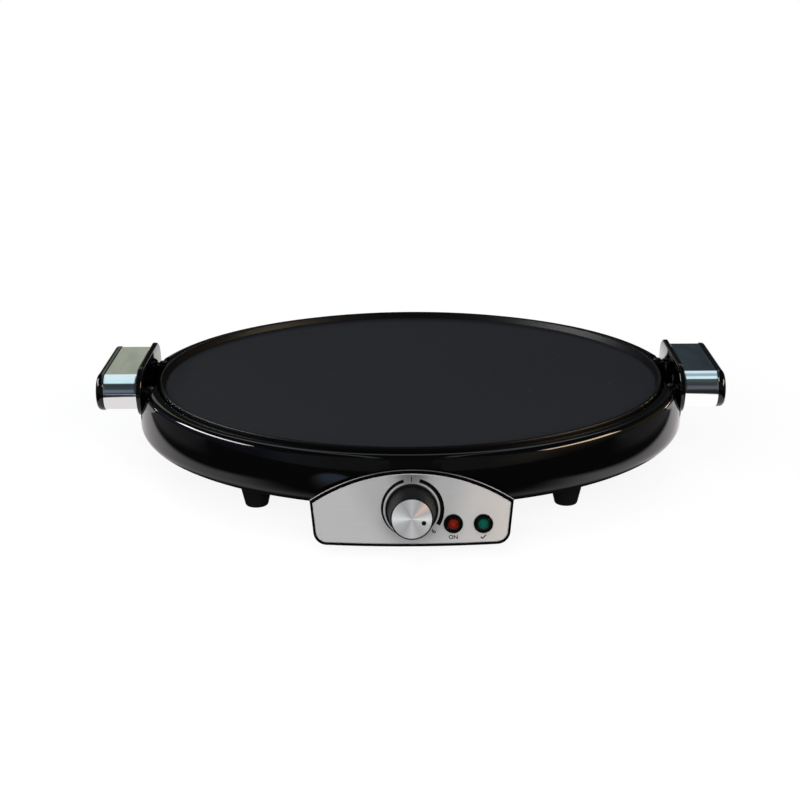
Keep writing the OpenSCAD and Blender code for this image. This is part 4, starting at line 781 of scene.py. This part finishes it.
# The clear moulding has a painted glow in its middle and painted shade towards its edge, under a glossy skin.
kinds = {
    "power": ("red", "#a62e18", "#6f170c", "#1e0402"), "ready": ("green", "#0c6f5a", "#085444", "#021813")
}
top = -fascia_set + bezel_h
mouth_r = lens_r + lens_clear + mouth_round
dome_r = (lens_r**2 + dome**2) / (2 * dome)
spread = math.degrees(math.acos(lens_r / dome_r))
for x, (name, (colour, *codes)) in zip(lamps, kinds.items()):
    at = on_panel @ Matrix.Translation((x * MM, lamp_s * MM, 0))
    profile = [
        (lens_r + lens_clear, barrel_z), (barrel_r, barrel_z), (barrel_r, -fascia_set), (bezel_r, -fascia_set)
    ]
    profile += arc(bezel_r - bezel_round, top - bezel_round, bezel_round, 0, 90, 6)
    profile += arc(mouth_r, top - mouth_round, mouth_round, 90, 180, 4)
    piece(f"{name}_bezel", [spun(profile, 64, at, closed=True)], [f"{name}_lamp_bezel"], gloss)
    clear, tree, coords = blank(f"clear {colour} moulding")
    hub = at @ Vector((0, 0, (top + dome) * MM))
    reach = node(tree, "VectorMath", {0: coords, 1: hub}, operation="DISTANCE").outputs["Value"]
    share = node(tree, "Math", {0: reach, 1: lens_r * MM}, operation="DIVIDE").outputs[0]
    bright, main, deep = (linear(code)[:3] for code in codes)
    # Painted glow in the middle of the lens, and painted shade towards its edge
    lens_stops = [(0, bright), (0.4, main), (0.62, main), (0.86, deep), (1, deep)]
    painted_glow_and_shade = node(tree, "ValToRGB", {0: share}, lens_stops).outputs[0]
    lens = node(tree, "BsdfPrincipled", {"Base Color": painted_glow_and_shade, "Roughness": 0.07, "IOR": 1.4})
    node(tree, "OutputMaterial", {"Surface": lens.outputs[0]})
    profile = [(0, barrel_z), (lens_r, barrel_z)] + arc(
        0, top - lens_sunk + dome - dome_r, dome_r, spread, 90, 16
    )
    piece(f"{name}_lens", [spun(profile, 64, at)], [f"{name}_lamp_lens"], clear)


# Handles: a black heat guard on two arms that stand in the shell's recess, a bent chrome sleeve over a
# moulded core, and a black end cap that two bolts pull up from the guard.
def round_ended(l, h):
    """A long round-ended outline, with a point held close to each end of its straight sides."""
    half, r, hold, n = (l - h) / 2, h / 2, 0.8, 28
    right_end = arc(half, 0, r, -90, 90, n)
    left_end = arc(-half, 0, r, 90, 270, n)
    return right_end + [(half - hold, r), (hold - half, r)] + left_end + [
        (hold - half, -r), (half - hold, -r)
    ]


handle_z, guard_z, guard_x, guard_t = 50.5, 50, 156, 3.2
guard_l, guard_h, guard_edge, guard_break = 84, 28.5, 1.2, 0.4
arm_x, arm_y, arm_w, arm_top, arm_edge, arm_root = 150.4, 29, 8, 51, 1.4, 1.5
bolt_y, bolt_sink_r, bolt_sink = 14, 3.9, 2.2
sleeve_x, sleeve_w, sleeve_l, sleeve_h, sleeve_t, sleeve_edge = 159.2, 19.4, 82, 21, 1.2, 0.2
end_x, end_t, end_lip, end_edge, end_break = 178.6, 4.4, 0.5, 2.8, 0.2
# Mirror chrome on thin sheet that rolls off at its ends and isn't quite flat: bands of the softboxes with
# wavy ends.
roll_w, dent_w, dent_l = 2, 6.667, 20
chrome, tree, coords = blank("chrome plate")
off = node(tree, "SeparateXYZ", {"Vector": coords}).outputs["X"]
off = node(tree, "Math", {0: off}, operation="ABSOLUTE").outputs[0]
off = node(tree, "Math", {0: off, 1: (sleeve_x + sleeve_w / 2) * MM}, operation="SUBTRACT").outputs[0]
off = node(tree, "Math", {0: off}, operation="ABSOLUTE").outputs[0]
rolled = {0: off, 1: (sleeve_w / 2 - roll_w) * MM, 2: sleeve_w / 2 * MM, 4: 0.75}
rolled = node(tree, "MapRange", rolled).outputs[0]
rolled = node(tree, "Math", {0: rolled, 1: 2}, operation="POWER").outputs[0]
run = {"Vector": coords, "Scale": (per_metre(dent_w), per_metre(dent_l), per_metre(dent_l))}
run = node(tree, "Mapping", run).outputs[0]
dents = node(tree, "TexNoise", {"Vector": run, "Scale": 1, "Detail": 0}).outputs["Fac"]
rise = node(tree, "Math", {0: dents, 1: 1.2}, operation="MULTIPLY").outputs[0]
rise = node(tree, "Math", {0: rise, 1: rolled}, operation="SUBTRACT").outputs[0]
waves = node(tree, "Bump", {"Height": rise, "Strength": 1, "Distance": 0.00004}).outputs[0]
plated = {"Base Color": linear("#f3f4f5"), "Metallic": 1, "Roughness": 0.05, "Normal": waves}
node(tree, "OutputMaterial", {"Surface": node(tree, "BsdfPrincipled", plated).outputs[0]})
for hand, name in ((-1, "left"), (1, "right")):
    sideways = Matrix(((0, 0, hand, 0), (1, 0, 0, 0), (0, 1, 0, 0), (0, 0, 0, 1)))
    guard_at, sleeve_at, sink_at, end_at = (
        Matrix.Translation(Vector((hand * x, axis_y, z)) * MM) @ sideways
        for x, z in ((guard_x, guard_z), (sleeve_x, handle_z), (guard_x, handle_z), (end_x, handle_z))
    )
    rim = [(guard_edge - dx, guard_edge - dz) for dx, dz in arc(0, 0, guard_edge, 90, 0, 6)]
    rim += [(0, guard_t - guard_break), (guard_break, guard_t)]
    guard = lofted([(round_ended(guard_l - 2 * i, guard_h - 2 * i), z) for i, z in rim], guard_at)
    arms = []
    for end in (-1, 1):
        sink = sink_at @ Matrix.Translation((end * bolt_y * MM, 0, 0))
        drill = [(0, -2), (bolt_sink_r, -2), (bolt_sink_r, bolt_sink), (0, bolt_sink)]
        combined(guard, spun(drill, 48, sink), "DIFFERENCE")
        ends_x = sorted((hand * arm_x, hand * (guard_x + arm_root)))
        low = (ends_x[0], axis_y + end * arm_y - arm_w / 2, recess_z + sliver)
        arms.append(block(low, (ends_x[1], axis_y + end * arm_y + arm_w / 2, arm_top), arm_edge))
    piece(f"{name}_guard", [guard] + arms, [f"{name}_handle_bracket"], gloss)
    rim = [(sleeve_t, 0), (sleeve_edge, 0), (0, sleeve_edge)]
    rim += [(i, sleeve_w - z) for i, z in rim[::-1]]
    rings = [(round_ended(sleeve_l - 2 * i, sleeve_h - 2 * i), z) for i, z in rim]
    sleeve = lofted(rings, sleeve_at, closed=True)
    piece(f"{name}_sleeve", [sleeve], [f"{name}_handle_sleeve"], chrome)
    end_l, end_h = sleeve_l + 2 * end_lip, sleeve_h + 2 * end_lip
    rim = [(end_break, 0), (0, end_break)]
    rim += [(end_edge - dx, end_t - end_edge + dz) for dx, dz in arc(0, 0, end_edge, 0, 90, 8)]
    end_cap = lofted([(round_ended(end_l - 2 * i, end_h - 2 * i), z) for i, z in rim], end_at)
    piece(f"{name}_end", [end_cap], [f"{name}_handle_end_cap"], gloss)
    dress(satin, f"{name}_handle_core")

# Cord gland: a moulded rubber bush with a rolled outer lip. It is pushed up into the slot of the rear wall
# before the cover goes on.
bore, gland_r, gland_neck, gland_in, gland_in_l = 3.6, 8, 5.5, 7.5, 8
neck_l, gland_lip, lip_edge, bore_edge = 2.9, 3, 1.2, 0.8
gland_end = neck_l + gland_lip
# A dull black with a soft grain, drawn coarser than the real one so that it shows.
rubber = finish("black moulded rubber", "#121213", "#19191a", 0.9091, (0.5, 0.65), 0.0, depth=0.25)
profile = [(bore, -gland_in_l), (gland_in, -gland_in_l), (gland_in, 0), (gland_neck, 0), (gland_neck, neck_l)]
profile += [(gland_r, neck_l)] + arc(gland_r - lip_edge, gland_end - lip_edge, lip_edge, 0, 90, 6)
profile += arc(bore + bore_edge, gland_end - bore_edge, bore_edge, 90, 180, 5)
gland_at = Matrix.Translation(Vector((0, axis_y + neck_y, gland_z)) * MM) @ rearward
piece("gland", [spun(profile, 64, gland_at, closed=True)], ["cord_gland"], rubber)


# Screws: pan heads with a cross recess, cold-headed from steel wire. The ones under the base are bright zinc,
# and the ones that go down through the handles' arms are blackened.
def pan_head(d, l):
    """A screw that points down from z = 0, with its head above, in the usual proportions to its diameter."""
    head_r, head_h = d * 0.875, d * 0.55
    profile = [
        (0, -l), (d / 2 - 0.3, -l), (d / 2, -l + 0.4), (d / 2, 0), (head_r, 0), (head_r, head_h * 0.35)
    ]
    profile += [(head_r * 0.9, head_h * 0.75), (head_r * 0.6, head_h * 0.97), (0, head_h)]
    made = spun(profile, 32)
    arm, thin = head_r * 0.55, d * 0.11
    for size in ((arm, thin), (thin, arm)):
        combined(
            made, block((-size[0], -size[1], head_h * 0.35), (size[0], size[1], head_h + 1)), "DIFFERENCE"
        )
    return made


def set_of(screw, places):
    """Copies of one screw, each put in its place."""
    copies = []
    for place in places:
        copies.append(screw.copy())
        bmesh.ops.transform(copies[-1], matrix=place, verts=copies[-1].verts)
    return copies


screw_d, arm_screw_x, arm_screw_l = 2.9, 152.8, 19.7
rim_screw_r, rim_screw_z, rim_screw_l, rim_screw_angles = 152.25, 24.2, 8, (30, 70, 110, 150, 215, 325)
over = Matrix.Rotation(math.pi, 4, "X")
for hand, name in ((-1, "left"), (1, "right")):
    spots = [Vector((hand * arm_screw_x, axis_y + end * arm_y, arm_top + sliver)) * MM for end in (-1, 1)]
    screws = set_of(pan_head(screw_d, arm_screw_l), [Matrix.Translation(spot) for spot in spots])
    piece(f"{name}_screws", screws, [f"{name}_bracket_screws"], black_zinc)
rim_places = []
for a in map(math.radians, rim_screw_angles):
    spot = Vector((rim_screw_r * math.cos(a), axis_y + rim_screw_r * math.sin(a), rim_screw_z)) * MM
    rim_places.append(Matrix.Translation(spot) @ over)
piece("rim_screws", set_of(pan_head(screw_d, rim_screw_l), rim_places), ["cover_screws"], zinc)
dress(zinc, "foot_screws", "housing_screws", "plate_bolts", "left_handle_bolts", "right_handle_bolts")
